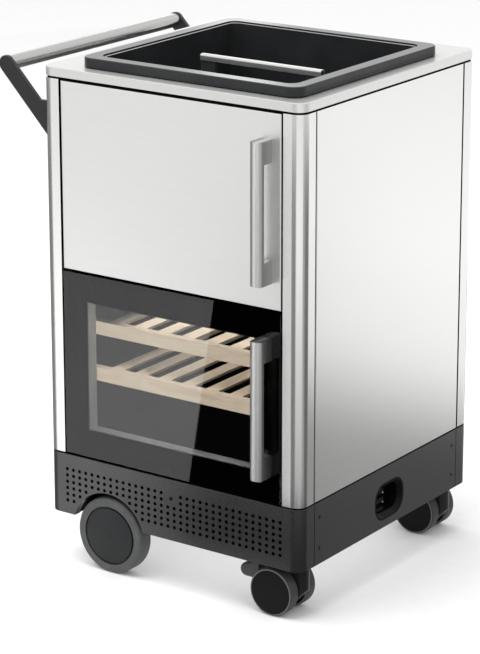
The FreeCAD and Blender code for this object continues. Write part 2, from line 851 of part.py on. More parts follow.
def castor_hood(label, y, with_pedal):
    body = keep(new_body(label, castor_x, y), label)
    profile = new_sketch(body, "XZ")
    chamfer = dim.hood_nose_bottom - dim.hood_bottom
    pivot_z = dim.pedal_pivot_height
    cheek = dim.pedal_boss_radius
    outline(profile, [
        (dim.hood_nose, hood_top),
        (-dim.hood_nose, hood_top),
        (hood_cheek, pivot_z + cheek),
        (hood_cheek, pivot_z - cheek),
        (-dim.castor_trail, dim.hood_bottom),
        (dim.hood_nose - chamfer, dim.hood_bottom),
        (dim.hood_nose, dim.hood_nose_bottom),
    ])
    pad(body, profile, dim.hood_width, midplane=True)
    fillet(body, dim.hood_width / 2 - dim.hood_gap,
           lambda edge: runs_along(edge, "z") and lies_at(edge, "x", dim.hood_nose))
    stem = new_sketch(body, "XY", hood_top)
    circle(stem, 0, 0, dim.stem_diameter / 2)
    pad(body, stem, dim.stem_length)
    bore = new_sketch(body, "XZ")
    circle(bore, -dim.castor_trail, castor_radius, dim.castor_axle_diameter / 2 + dim.running_clearance)
    pocket(body, bore, dim.hood_width, midplane=True)
    if with_pedal:
        slot_end = pedal_pivot[0] + dim.pedal_boss_radius + dim.hood_gap
        slot = new_sketch(body, "XY", dim.hood_bottom)
        half = dim.pedal_root_width / 2 + dim.rest_clearance
        rectangle(slot, hood_cheek - dim.hood_gap, -half, slot_end, half)
        pocket(body, slot, hood_top - dim.hood_bottom)
        pin = new_sketch(body, "XZ")
        circle(pin, *pedal_pivot, dim.pedal_pin_diameter / 2)
        pad(body, pin, dim.hood_width, midplane=True)


def castor_wheels(label, y):
    """Two wheels and the axle that they are pressed on."""
    inner = dim.hood_width / 2 + dim.hood_gap
    axle_end = inner + dim.castor_wheel_width - dim.castor_axle_end
    bore = dim.castor_axle_diameter / 2
    shoulder = dim.castor_shoulder
    wheels = []
    for name, side in (("near", -1), ("far", 1)):
        body = new_body(f"{label}_{name}", castor_axle_x, y, castor_radius)
        profile = new_sketch(body, "YZ")
        face = side * (inner + dim.castor_wheel_width)
        outline(profile, [
            (side * inner, bore), (side * axle_end, bore), (side * axle_end, 0), (face, 0),
            (face, castor_radius - shoulder), (face - side * shoulder, castor_radius, side * shoulder),
            (side * (inner + shoulder), castor_radius), (side * inner, castor_radius - shoulder, side * shoulder),
        ])
        revolve(body, profile, "H_Axis")
        wheels.append(body)
    axle = rod(f"{label}_axle", "y", castor_axle_x, y - axle_end, castor_radius, bore, 2 * axle_end)
    keep(fuse(label, *wheels, axle), label)


castor_hood("front_castor_hood", castor_front_y, True)
castor_wheels("front_castor_wheels", castor_front_y)
castor_hood("rear_castor_hood", castor_rear_y, False)
castor_wheels("rear_castor_wheels", castor_rear_y)

# Brake pedal of the front castor: a round-ended lobe that turns on the hood's cross pin
brake_pedal = keep(new_body("brake_pedal", castor_x + pedal_pivot[0], castor_front_y, dim.pedal_pivot_height),
                   "brake_pedal")
boss = dim.pedal_boss_radius
tongue_start = -(dim.hood_rear - dim.pedal_pivot_back) - dim.pedal_gap
tongue_end = -dim.pedal_length
root_profile = new_sketch(brake_pedal, "XZ")
outline(root_profile, [
    (0, boss, boss), (tongue_start - boss, boss / 2), (tongue_start - boss, -boss), (0, -boss), (boss, 0, boss),
])
pad(brake_pedal, root_profile, dim.pedal_root_width, midplane=True)
lobe_radius = dim.pedal_thickness / 2
lobe_x = tongue_end + lobe_radius
lean = root(1 + dim.pedal_slope * dim.pedal_slope)
crest_x, crest_z = lobe_x - lobe_radius * dim.pedal_slope / lean, lobe_radius / lean - dim.pedal_drop
tongue = new_sketch(brake_pedal, "XZ")
outline(tongue, [
    (tongue_start, crest_z + (tongue_start - crest_x) * dim.pedal_slope),
    (crest_x, crest_z),
    (tongue_end, -dim.pedal_drop, lobe_radius),
    (lobe_x, -dim.pedal_drop - lobe_radius, lobe_radius),
    (tongue_start, -dim.pedal_drop - lobe_radius),
])
pad(brake_pedal, tongue, dim.pedal_width, midplane=True)
fillet(brake_pedal, dim.pedal_tip_radius,
       lambda edge: (lies_at(edge, "y", dim.pedal_width / 2) or lies_at(edge, "y", -dim.pedal_width / 2))
       and not lies_at(edge, "x", tongue_start))
pedal_eye = new_sketch(brake_pedal, "XZ")
circle(pedal_eye, 0, 0, dim.pedal_pin_diameter / 2 + dim.running_clearance)
pocket(brake_pedal, pedal_eye, dim.pedal_root_width, midplane=True)


# Decks: dark plates in the gaps over the plinth and under the worktop


def deck(label, z):
    body = keep(new_body(label, left, front, z), label)
    plate = new_sketch(body, "XY")
    rectangle(plate, dim.deck_inset, dim.deck_inset, dim.cabinet_width - dim.deck_inset,
              dim.cabinet_depth - dim.deck_inset, dim.corner_radius - dim.deck_inset)
    pad(body, plate, dim.deck_thickness)
    return body


rim_right_x = dim.cabinet_width - dim.rim_right
rim_rear_y = dim.cabinet_depth - dim.rim_rear
tub_margin = dim.rim_width - dim.tub_wall - dim.tub_play


def tub_outline(sketch, collar=0):
    """The outline of the cut-out that the tub drops through, or of a collar round it."""
    margin = tub_margin - collar
    rectangle(sketch, dim.rim_left + margin, dim.rim_front + margin, rim_right_x - margin, rim_rear_y - margin,
              dim.tub_corner + dim.tub_wall + dim.tub_play + collar)


def tub_opening(body, depth):
    hole = new_sketch(body, "XY")
    tub_outline(hole)
    pocket(body, hole, depth)


deck("lower_deck", plinth_top)
tub_opening(deck("upper_deck", body_top), dim.deck_thickness)


# Corner posts: closed profiles with one large outer radius


def corner_section(sketch, inset, x_side, y_side):
    turn = x_side * y_side
    radius = dim.corner_radius - inset
    far_x, far_y = x_side * (dim.post_front - inset), y_side * (dim.post_side - inset)
    near_x, near_y = x_side * inset, y_side * inset
    outline(sketch, [
        (near_x, y_side * dim.corner_radius),
        (x_side * dim.corner_radius, near_y, turn * radius),
        (far_x, near_y), (far_x, far_y), (near_x, far_y),
    ])


def corner_post(label, x, y, x_side, y_side):
    body = keep(new_body(label, x, y, body_bottom), label)
    profile = new_sketch(body, "XY")
    corner_section(profile, 0, x_side, y_side)
    corner_section(profile, dim.post_wall, x_side, y_side)
    pad(body, profile, body_height)


corner_post("post_front_left", left, front, 1, 1)
corner_post("post_front_right", right, front, -1, 1)
corner_post("post_rear_left", left, back, 1, -1)
corner_post("post_rear_right", right, back, -1, -1)

# Side panels and back panel: folded sheet trays with softly rounded outer edges
side_panel_start = front + dim.post_side + dim.seam
side_panel_length = dim.cabinet_depth - 2 * (dim.post_side + dim.seam)


def side_panel(label, x, side):
    body = keep(new_body(label, x, side_panel_start, body_bottom), label)
    profile = new_sketch(body, "XY")
    rectangle(profile, 0, 0, side * dim.panel_thickness, side_panel_length)
    pad(body, profile, body_height)
    fillet(body, dim.panel_edge_radius, lambda edge: runs_along(edge, "z") and lies_at(edge, "x", 0))
    inside = new_sketch(body, "YZ", side * dim.panel_edge_radius)
    rectangle(inside, dim.panel_sheet, dim.panel_sheet, side_panel_length - dim.panel_sheet,
              body_height - dim.panel_sheet)
    pocket(body, inside, dim.panel_thickness, towards=side)


side_panel("side_panel_left", left, 1)
side_panel("side_panel_right", right, -1)
back_panel = keep(new_body("back_panel", door_left, back, body_bottom), "back_panel")
back_profile = new_sketch(back_panel, "XY")
rectangle(back_profile, 0, 0, door_width, -dim.panel_thickness)
pad(back_panel, back_profile, body_height)
fillet(back_panel, dim.panel_edge_radius, lambda edge: runs_along(edge, "z") and lies_at(edge, "y", 0))
back_inside = new_sketch(back_panel, "XZ", -dim.panel_edge_radius)
rectangle(back_inside, dim.panel_sheet, dim.panel_sheet, door_width - dim.panel_sheet, body_height - dim.panel_sheet)
pocket(back_panel, back_inside, dim.panel_thickness, towards=-1)


# Seal strips in the seams between the posts and the panels


def panel_strips():
    deep = dim.strip_recess + dim.strip_depth
    z = (body_bottom, body_top)
    for name, x in (("left", (left + dim.strip_recess, left + deep)),
                    ("right", (right - deep, right - dim.strip_recess))):
        yield box(f"strip_{name}_front", x, (side_panel_start - dim.seam, side_panel_start), z)
        end = side_panel_start + side_panel_length
        yield box(f"strip_{name}_rear", x, (end, end + dim.seam), z)
    y = (back - deep, back - dim.strip_recess)
    yield box("strip_back_left", (door_left - dim.seam, door_left), y, z)
    yield box("strip_back_right", (door_right, door_right + dim.seam), y, z)


keep(group("panel_strips", *panel_strips()), "panel_strips")

# Worktop: a folded tray with rounded corners, a softened upper edge and a collar round the tub
worktop = keep(new_body("worktop", left, front, worktop_bottom), "worktop")
slab = new_sketch(worktop, "XY")
rectangle(slab, 0, 0, dim.cabinet_width, dim.cabinet_depth, dim.corner_radius)
pad(worktop, slab, dim.worktop_thickness)
fillet(worktop, dim.worktop_edge_radius, lambda edge: lies_at(edge, "z", dim.worktop_thickness))
tub_opening(worktop, dim.worktop_thickness)
underside = new_sketch(worktop, "XY")
rectangle(underside, dim.worktop_sheet, dim.worktop_sheet, dim.cabinet_width - dim.worktop_sheet,
          dim.cabinet_depth - dim.worktop_sheet, dim.corner_radius - dim.worktop_sheet)
tub_outline(underside, dim.worktop_sheet)
pocket(worktop, underside, dim.worktop_thickness - dim.worktop_sheet)

# Ice tub: raised rim on a recessed foot, a step for a lid, and guides for the divider
rim_x, rim_y = rim_right_x - dim.rim_left, rim_rear_y - dim.rim_front
rim_top = dim.worktop_height + dim.rim_height
inner_x, inner_y = rim_x - dim.rim_width, rim_y - dim.rim_width
tub_bottom = dim.rim_height - dim.tub_depth - dim.tub_wall
divider_y = rim_y / 2
ice_tub = keep(new_body("ice_tub", left + dim.rim_left, front + dim.rim_front, dim.worktop_height), "ice_tub")
foot = new_sketch(ice_tub, "XY")
rectangle(foot, dim.rim_foot_inset, dim.rim_foot_inset, rim_x - dim.rim_foot_inset, rim_y - dim.rim_foot_inset,
          dim.rim_corner - dim.rim_foot_inset)
pad(ice_tub, foot, dim.rim_foot)
rim = new_sketch(ice_tub, "XY", dim.rim_foot)
rectangle(rim, 0, 0, rim_x, rim_y, dim.rim_corner)
pad(ice_tub, rim, dim.rim_height - dim.rim_foot)
fillet(ice_tub, dim.rim_edge_radius, lambda edge: lies_at(edge, "z", dim.rim_height))
shell = new_sketch(ice_tub, "XY")
shell_margin = dim.rim_width - dim.tub_wall
rectangle(shell, shell_margin, shell_margin, rim_x - shell_margin, rim_y - shell_margin,
          dim.tub_corner + dim.tub_wall)
pad(ice_tub, shell, -tub_bottom, towards=-1)
bowl = new_sketch(ice_tub, "XY", tub_bottom + dim.tub_wall)
rectangle(bowl, dim.rim_width, dim.rim_width, inner_x, inner_y, dim.tub_corner)
pocket(ice_tub, bowl, dim.tub_depth)
step = new_sketch(ice_tub, "XY", dim.rim_height - dim.rim_step)
step_margin = dim.rim_width - dim.rim_step
rectangle(step, step_margin, step_margin, rim_x - step_margin, rim_y - step_margin, dim.tub_corner + dim.rim_step)
pocket(ice_tub, step, dim.rim_step)
guides = new_sketch(ice_tub, "XY", tub_bottom + dim.tub_wall)
guide_gap = dim.divider_thickness / 2 + dim.divider_play
for wall_x, reach in ((dim.rim_width, dim.guide_reach), (inner_x, -dim.guide_reach)):
    for side in (1, -1):
        near = divider_y + side * guide_gap
        rectangle(guides, wall_x, near, wall_x + reach, near + side * dim.guide_width)
pad(ice_tub, guides, dim.tub_depth - dim.rim_step - dim.divider_shoulder)

# Tub divider: a plate in the guides, with a hand hole under a stainless grip
divider_floor = dim.worktop_height + tub_bottom + dim.tub_wall + dim.rest_clearance
divider_top = rim_top - dim.grip_below_rim
shoulder_z = rim_top - dim.rim_step - dim.divider_shoulder - divider_floor
divider_half = (inner_x - dim.rim_width) / 2 - dim.divider_play
grip_half = dim.grip_length / 2
neck_z = divider_top - dim.grip_wall - divider_floor
tub_divider = keep(new_body("tub_divider", left + dim.rim_left + rim_x / 2,
                            front + dim.rim_front + divider_y, divider_floor), "tub_divider")
plate = new_sketch(tub_divider, "XZ")
outline(plate, [
    (-divider_half, 0), (divider_half, 0), (divider_half, shoulder_z), (grip_half, shoulder_z),
    (grip_half, neck_z), (-grip_half, neck_z), (-grip_half, shoulder_z), (-divider_half, shoulder_z),
])
pad(tub_divider, plate, dim.divider_thickness, midplane=True)
hand_hole = new_sketch(tub_divider, "XZ")
hole_top = neck_z - dim.grip_height + dim.grip_wall
rectangle(hand_hole, dim.hand_hole_side - grip_half, hole_top - dim.hand_hole_height,
          grip_half - dim.hand_hole_side, hole_top)
pocket(tub_divider, hand_hole, dim.divider_thickness, midplane=True)

divider_grip = keep(new_body("divider_grip", left + dim.rim_left + rim_x / 2, front + dim.rim_front + divider_y,
                             divider_top), "divider_grip")
grip_inner = dim.divider_thickness / 2
grip_outer = grip_inner + dim.grip_wall
cap_section = new_sketch(divider_grip, "YZ", -grip_half)
outline(cap_section, [
    (-grip_outer, -dim.grip_height), (-grip_inner, -dim.grip_height),
    (-grip_inner, -dim.grip_wall), (grip_inner, -dim.grip_wall),
    (grip_inner, -dim.grip_height), (grip_outer, -dim.grip_height),
    (grip_outer, -dim.grip_round), (grip_outer - dim.grip_round, 0, dim.grip_round),
    (dim.grip_round - grip_outer, 0), (-grip_outer, -dim.grip_round, dim.grip_round),
])
pad(divider_grip, cap_section, dim.grip_length)

# Push handle: two flat arms on the left posts and a round bar between them
arm_half = dim.arm_width / 2
arm_foot = dim.worktop_height - dim.arm_foot_drop
bar_z = dim.push_bar_height - arm_foot
arm_length = root(dim.push_bar_offset * dim.push_bar_offset + bar_z * bar_z)
arm_run, arm_rise = dim.push_bar_offset / arm_length, bar_z / arm_length
slope = arm_rise / arm_run
lower_x, lower_z = -dim.push_bar_offset - arm_half * arm_rise, bar_z - arm_half * arm_run
upper_x, upper_z = -dim.push_bar_offset + arm_half * arm_rise, bar_z + arm_half * arm_run
end_x, end_z = -dim.push_bar_offset - arm_half * arm_run, bar_z + arm_half * arm_rise
root_z = upper_z + (upper_x + dim.arm_root_length) * slope


def push_arm(label, y):
    body = keep(new_body(label, left, y, arm_foot), label)
    profile = new_sketch(body, "XZ")
    outline(profile, [
        (0, root_z),
        (-dim.arm_root_length, root_z),
        (upper_x, upper_z),
        (end_x, end_z, arm_half),
        (lower_x, lower_z, arm_half),
        (0, lower_z + lower_x * slope),
    ])
    pad(body, profile, dim.arm_thickness)
    fillet(body, dim.arm_edge_radius,
           lambda edge: (lies_at(edge, "y", 0) or lies_at(edge, "y", dim.arm_thickness))
           and not lies_at(edge, "x", 0))


bar_start = front + dim.arm_inset + dim.arm_thickness
push_arm("push_arm_front", front + dim.arm_inset)
push_arm("push_arm_rear", back - dim.arm_inset - dim.arm_thickness)
bar_length = dim.cabinet_depth - 2 * (dim.arm_inset + dim.arm_thickness)
bar_radius = dim.push_bar_diameter / 2
bar_solid, bar_bore = [
    rod(f"push_bar_{name}", "y", left - dim.push_bar_offset, bar_start, dim.push_bar_height, radius, bar_length)
    for name, radius in (("solid", bar_radius), ("bore", bar_radius - dim.push_bar_wall))
]
keep(cut("push_bar", bar_solid, bar_bore), "push_bar")

# Liners: the fridge box below and the cupboard above, with a face frame that its door closes on
fridge_floor = body_bottom + dim.liner_wall
fridge_ceiling = door_split - dim.liner_wall
fridge_left, fridge_right = door_left + dim.liner_wall, door_right - dim.liner_wall
fridge_back = liner_back - dim.liner_wall
fridge_liner = keep(new_body("fridge_liner", door_left, liner_front, body_bottom), "fridge_liner")
fridge_front = new_sketch(fridge_liner, "XZ")
rectangle(fridge_front, 0, 0, door_width, door_split - body_bottom)
pad(fridge_liner, fridge_front, liner_back - liner_front)
fridge_room = new_sketch(fridge_liner, "XZ")
rectangle(fridge_room, dim.liner_wall, dim.liner_wall, door_width - dim.liner_wall, fridge_ceiling - body_bottom)
pocket(fridge_liner, fridge_room, fridge_back - liner_front)

cupboard_liner = keep(new_body("cupboard_liner", door_left, liner_front, door_split), "cupboard_liner")
cupboard_front = new_sketch(cupboard_liner, "XZ")
rectangle(cupboard_front, 0, 0, door_width, body_top - door_split)
pad(cupboard_liner, cupboard_front, liner_back - liner_front)
cupboard_mouth = new_sketch(cupboard_liner, "XZ")
rectangle(cupboard_mouth, dim.cupboard_frame, dim.cupboard_frame, door_width - dim.cupboard_frame,
          body_top - door_split - dim.cupboard_frame)
pocket(cupboard_liner, cupboard_mouth, dim.cupboard_wall)
cupboard_room = new_sketch(cupboard_liner, "XZ", dim.cupboard_wall)
rectangle(cupboard_room, dim.cupboard_wall, dim.cupboard_wall, door_width - dim.cupboard_wall, body_top - door_split)
pocket(cupboard_liner, cupboard_room, liner_back - liner_front - 2 * dim.cupboard_wall)

# Evaporator plate on the back wall of the fridge
fridge_middle = (door_left + door_right) / 2
evaporator_z = (fridge_floor + fridge_ceiling) / 2
keep(box("evaporator_plate",
         (fridge_middle - dim.evaporator_width / 2, fridge_middle + dim.evaporator_width / 2),
         (fridge_back - dim.evaporator_thickness, fridge_back),
         (evaporator_z - dim.evaporator_height / 2, evaporator_z + dim.evaporator_height / 2)), "evaporator_plate")

# Wine shelves: front and rear rails carry the slats, and rest on runners along the walls
shelf_front = liner_front + dim.rail_setback
shelf_back = fridge_back - dim.evaporator_thickness - dim.shelf_back_gap
shelf_tops = {
    "upper": body_bottom + dim.upper_shelf_height,
    "lower": body_bottom + dim.upper_shelf_height - dim.shelf_gap,
}
rail_x = (fridge_left + dim.shelf_play, fridge_right - dim.shelf_play)


def shelf_runners():
    for name, top in shelf_tops.items():
        z = (top - dim.rail_height - dim.runner_height, top - dim.rail_height)
        y = (shelf_front, fridge_back - dim.evaporator_thickness)
        yield box(f"runner_{name}_left", (fridge_left, fridge_left + dim.runner_width), y, z)
        yield box(f"runner_{name}_right", (fridge_right - dim.runner_width, fridge_right), y, z)


slat_pitch = (fridge_right - fridge_left - 2 * dim.slat_side - dim.slat_width) / (dim.slat_count - 1)


def shelf(name, top):
    low = top - dim.rail_height
    under = top - dim.slat_thickness
    rail_back = shelf_front + dim.rail_depth
    front_rail = box(f"{name}_front_rail", rail_x, (shelf_front, rail_back), (low, top))
    rear_rail = box(f"{name}_rear_rail", rail_x, (shelf_back - dim.rail_depth, shelf_back), (low, under))
    keep(group(f"{name}_shelf_rails", front_rail, rear_rail), f"{name}_shelf_rails")
    slats = []
    for number in range(int(dim.slat_count)):
        middle = fridge_middle + (number - (dim.slat_count - 1) / 2) * slat_pitch
        x = (middle - dim.slat_width / 2, middle + dim.slat_width / 2)
        slats.append(box(f"{name}_slat_{number + 1}", x, (rail_back, shelf_back), (under, top)))
    keep(group(f"{name}_shelf_slats", *slats), f"{name}_shelf_slats")


keep(group("shelf_runners", *shelf_runners()), "shelf_runners")
for shelf_name, shelf_top in shelf_tops.items():
    shelf(shelf_name, shelf_top)

# Hinges: pins on the two decks, and a plate with two pins on the post between the doors
pivot_x = door_left + dim.pivot_from_edge
pivot_y = front + dim.pivot_from_face
pin_radius = dim.hinge_pin_diameter / 2
bore_radius = pin_radius + dim.running_clearance
plate_bottom = door_split - dim.hinge_plate_thickness / 2
plate_end = pivot_x + dim.hinge_plate_depth / 2
upper_door_bottom = door_split + dim.door_split / 2
upper_door_top = body_top - dim.door_play
lower_door_bottom = body_bottom + dim.door_play
lower_door_top = door_split - dim.door_split / 2
pin_span = 2 * dim.hinge_pin_reach + dim.door_split
top_pin = rod("hinge_pin_top", "z", pivot_x, pivot_y, upper_door_top - dim.hinge_pin_reach, pin_radius,
              dim.hinge_pin_reach + dim.door_play)
bottom_pin = rod("hinge_pin_bottom", "z", pivot_x, pivot_y, body_bottom, pin_radius,
                 dim.hinge_pin_reach + dim.door_play)
middle_plate = box("hinge_plate", (left + dim.post_front, plate_end),
                   (pivot_y - dim.hinge_plate_depth / 2, pivot_y + dim.hinge_plate_depth / 2),
                   (plate_bottom, plate_bottom + dim.hinge_plate_thickness))
middle_pin = rod("hinge_pin_middle", "z", pivot_x, pivot_y, door_split - pin_span / 2, pin_radius, pin_span)
keep(group("hinges", top_pin, bottom_pin, fuse("hinge_middle", middle_plate, middle_pin)), "hinges")


def hinge_bores(body, height, radius):
    """Blind holes for the hinge pins in a door's lower and upper edge."""
    depth = dim.hinge_pin_reach + dim.rest_clearance
    for offset, towards in ((0, 1), (height, -1)):
        hole = new_sketch(body, "XY", offset)
        circle(hole, dim.pivot_from_edge, dim.pivot_from_face, radius)
        pocket(body, hole, depth, towards=towards)


def door_seal(label, z, height):
    """A frame of soft profile on the back of a door."""
    body = keep(new_body(label, door_left, front + dim.door_thickness, z), label)
    ring = new_sketch(body, "XZ")
    inset = dim.door_seal_inset
    inner = inset + dim.door_seal_width
    rectangle(ring, inset, inset, door_width - inset, height - inset)
    rectangle(ring, inner, inner, door_width - inner, height - inner)
    pad(body, ring, dim.door_seal_thickness - dim.rest_clearance)


def door_handle(label, z, height):
    """A D-shaped bar on two feet, cut from one profile by the finger gap."""
    x = door_right - dim.handle_from_edge - dim.handle_width
    body = keep(new_body(label, x, front, z + (height - dim.handle_length) / 2), label)
    profile = new_sketch(body, "XY")
    flat = dim.handle_reach - dim.handle_crown
    half = dim.handle_width / 2
    bow = (half * half + dim.handle_crown * dim.handle_crown) / (2 * dim.handle_crown)
    outline(profile, [(0, 0), (0, -flat), (dim.handle_width, -flat, bow), (dim.handle_width, 0)])
    pad(body, profile, dim.handle_length)
    gap = new_sketch(body, "YZ")
    rectangle(gap, dim.handle_bar - dim.handle_reach, dim.handle_foot, 0, dim.handle_length - dim.handle_foot)
    pocket(body, gap, dim.handle_width)


# Upper door: a folded skin round a core
upper_door_height = upper_door_top - upper_door_bottom
upper_skin = keep(new_body("upper_door_skin", door_left, front, upper_door_bottom), "upper_door_skin")
skin_front = new_sketch(upper_skin, "XZ")
rectangle(skin_front, 0, 0, door_width, upper_door_height)
pad(upper_skin, skin_front, dim.door_thickness)
fillet(upper_skin, dim.door_edge_radius, lambda edge: lies_at(edge, "y", 0))
skin_inside = new_sketch(upper_skin, "XZ", dim.door_edge_radius)
rectangle(skin_inside, dim.door_skin, dim.door_skin, door_width - dim.door_skin, upper_door_height - dim.door_skin)
pocket(upper_skin, skin_inside, dim.door_thickness)
hinge_bores(upper_skin, upper_door_height, bore_radius)

upper_core = keep(new_body("upper_door_core", door_left, front, upper_door_bottom), "upper_door_core")
core_front = new_sketch(upper_core, "XZ", dim.door_edge_radius)
rectangle(core_front, dim.door_skin, dim.door_skin, door_width - dim.door_skin, upper_door_height - dim.door_skin)
pad(upper_core, core_front, dim.door_thickness - dim.door_edge_radius)
hinge_bores(upper_core, upper_door_height, bore_radius)
door_seal("upper_door_seal", upper_door_bottom, upper_door_height)
door_handle("upper_door_handle", upper_door_bottom, upper_door_height)

# Glass door: a full pane on a frame, with a reveal that lines the window
lower_door_height = lower_door_top - lower_door_bottom
keep(box("glass_pane", (door_left, door_right), (front, front + dim.glass_thickness),
         (lower_door_bottom, lower_door_top)), "glass_pane")


def window_ring(label, outer, inner):
    """A rectangular frame behind the pane, between two distances from the door's edge."""
    body = keep(new_body(label, door_left, front, lower_door_bottom), label)
    ring = new_sketch(body, "XZ", dim.glass_thickness)
    for inset in (outer, inner):
        rectangle(ring, inset, inset, door_width - inset, lower_door_height - inset)
    pad(body, ring, dim.door_thickness - dim.glass_thickness)
    return body


glass_frame = window_ring("glass_door_frame", 0, dim.glass_border)
hinge_bores(glass_frame, lower_door_height, bore_radius)
window_ring("glass_door_reveal", dim.glass_border, dim.glass_border + dim.reveal_wall)
door_seal("glass_door_seal", lower_door_bottom, lower_door_height)
door_handle("glass_door_handle", lower_door_bottom, lower_door_height)

# Cooling machine in the plinth: compressor, finned condenser, fan and control box
compressor = keep(new_body("compressor", left + dim.compressor_from_left, back - dim.compressor_from_back, base_top),
                  "compressor")
can = new_sketch(compressor, "XZ")
can_radius = dim.compressor_diameter / 2
outline(can, [
    (0, 0), (can_radius - dim.compressor_dome, 0),
    (can_radius - dim.compressor_flange, dim.compressor_dome, dim.compressor_dome),
    (can_radius - dim.compressor_flange, dim.compressor_height / 2),
    (can_radius, dim.compressor_height / 2),
    (can_radius, dim.compressor_height / 2 + dim.compressor_flange),
    (can_radius - dim.compressor_flange, dim.compressor_height / 2 + dim.compressor_flange),
    (can_radius - dim.compressor_flange, dim.compressor_height - dim.compressor_dome),
    (can_radius - dim.compressor_dome, dim.compressor_height, dim.compressor_dome),
    (0, dim.compressor_height),
])
revolve(compressor, can, "V_Axis")

condenser_left = right - dim.condenser_from_right - dim.condenser_width
condenser = keep(new_body("condenser", condenser_left, front + dim.condenser_from_front, base_top), "condenser")
block = new_sketch(condenser, "XY")
rectangle(block, 0, 0, dim.condenser_width, dim.condenser_depth)
pad(condenser, block, dim.condenser_height)
fin_pitch = dim.condenser_width / dim.condenser_fins
gaps = new_sketch(condenser, "XY")
for number in range(int(dim.condenser_fins)):
    gap_x = (number + 0.5) * fin_pitch - dim.condenser_fin_gap / 2
    rectangle(gaps, gap_x, 0, gap_x + dim.condenser_fin_gap, dim.condenser_fin_depth)
pocket(condenser, gaps, dim.condenser_height)

fan_x = condenser_left + dim.condenser_width / 2
fan_y = front + dim.condenser_from_front + dim.condenser_depth
fan_z = base_top + dim.fan_size / 2
fan_frame = keep(new_body("fan_frame", fan_x, fan_y, fan_z), "fan_frame")
square = new_sketch(fan_frame, "XZ")
half_fan = dim.fan_size / 2
rectangle(square, -half_fan, -half_fan, half_fan, half_fan)
circle(square, 0, 0, dim.fan_bore_diameter / 2)
pad(fan_frame, square, dim.fan_depth)
bar = new_sketch(fan_frame, "XZ", dim.fan_depth - dim.fan_bar_depth)
rectangle(bar, -half_fan, -dim.fan_bar / 2, half_fan, dim.fan_bar / 2)
pad(fan_frame, bar, dim.fan_bar_depth)
shaft = new_sketch(fan_frame, "XZ", dim.fan_depth - dim.fan_bar_depth)
circle(shaft, 0, 0, dim.fan_shaft_diameter / 2)
shaft_length = dim.fan_depth - 2 * dim.fan_bar_depth
pad(fan_frame, shaft, shaft_length, towards=-1)

fan_rotor = keep(new_body("fan_rotor", fan_x, fan_y, fan_z), "fan_rotor")
hub_length = shaft_length - dim.rest_clearance
hub_disc = new_sketch(fan_rotor, "XZ", dim.fan_bar_depth)
circle(hub_disc, 0, 0, dim.fan_hub_diameter / 2)
circle(hub_disc, 0, 0, dim.fan_shaft_diameter / 2 + dim.running_clearance)
pad(fan_rotor, hub_disc, hub_length)
blade = new_sketch(fan_rotor, "YZ", dim.fan_hub_diameter / 2 - dim.fan_blade_thickness)
blade_y, blade_z = cosine(dim.fan_blade_pitch), sine(dim.fan_blade_pitch)
blade_middle = dim.fan_bar_depth + hub_length / 2
half_chord, half_blade = dim.fan_blade_width / 2, dim.fan_blade_thickness / 2
outline(blade, [
    (blade_middle + along * half_chord * blade_y - across * half_blade * blade_z,
     along * half_chord * blade_z + across * half_blade * blade_y)
    for along, across in ((-1, -1), (1, -1), (1, 1), (-1, 1))
])
pad(fan_rotor, blade, (dim.fan_bore_diameter - dim.fan_hub_diameter) / 2 + dim.fan_blade_thickness
    - dim.fan_tip_clearance)
blades = fan_rotor.newObject("PartDesign::PolarPattern", "fan_rotor_blades")
blades.Originals = [fan_rotor.Tip]
blades.Axis = (hub_disc, ["N_Axis"])
blades.Angle = 360
bind(blades, "Occurrences", dim.fan_blades)
fan_rotor.Tip = blades

control_right = inlet_back - dim.control_gap
keep(box("control_box", (control_right - dim.control_width, control_right),
         (inlet_middle_y - dim.control_length / 2, inlet_middle_y + dim.control_length / 2),
         (base_top, base_top + dim.control_height)), "control_box")

# Check every object, then write one file for each sub-part
doc.recompute()
for obj in doc.Objects:
    if {"Invalid", "Error"} & set(obj.State):
        raise RuntimeError(f"{obj.Label} failed: {obj.State}")
    if obj.TypeId == "PartDesign::Pocket" and obj.Shape.Volume > obj.BaseFeature.Shape.Volume - 1e-3:
        raise RuntimeError(f"{obj.Label} cuts nothing")
for piece in pieces:
    if piece.Shape.isNull() or not piece.Shape.isValid():
        raise RuntimeError(f"{piece.Label} has no valid shape")
os.makedirs("parts", exist_ok=True)
for piece in pieces:
    piece.Shape.exportStep(f"parts/{piece.Label}.step")
    print(piece.Label, len(piece.Shape.Solids), round(piece.Shape.Volume / 1000, 1), "cm3")
print(len(pieces), "pieces")
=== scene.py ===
"""Looks of the outdoor bar cart: materials, small fittings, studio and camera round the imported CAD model."""
import math

import bmesh
import bpy
from mathutils import Matrix, Vector


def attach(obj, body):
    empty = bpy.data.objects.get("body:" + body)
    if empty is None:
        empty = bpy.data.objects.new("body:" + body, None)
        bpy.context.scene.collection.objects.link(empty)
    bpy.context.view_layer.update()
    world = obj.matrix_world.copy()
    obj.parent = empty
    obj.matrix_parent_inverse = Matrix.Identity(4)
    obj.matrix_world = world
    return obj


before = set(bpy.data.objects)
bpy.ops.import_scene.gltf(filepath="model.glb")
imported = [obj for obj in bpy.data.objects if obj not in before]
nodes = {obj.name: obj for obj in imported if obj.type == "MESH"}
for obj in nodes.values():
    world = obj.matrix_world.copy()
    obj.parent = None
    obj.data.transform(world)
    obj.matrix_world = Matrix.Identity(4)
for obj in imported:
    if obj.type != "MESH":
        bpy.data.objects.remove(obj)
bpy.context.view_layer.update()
scene = bpy.context.scene

MM = 0.001

# Node-tree helpers

# Most of a noise texture's values lie between these two
NOISE_LOW, NOISE_HIGH = 0.3, 0.7


def new_material(name):
    material = bpy.data.materials.new(name)
    material.use_nodes = True
    tree = material.node_tree
    return material, tree, tree.nodes["Principled BSDF"]


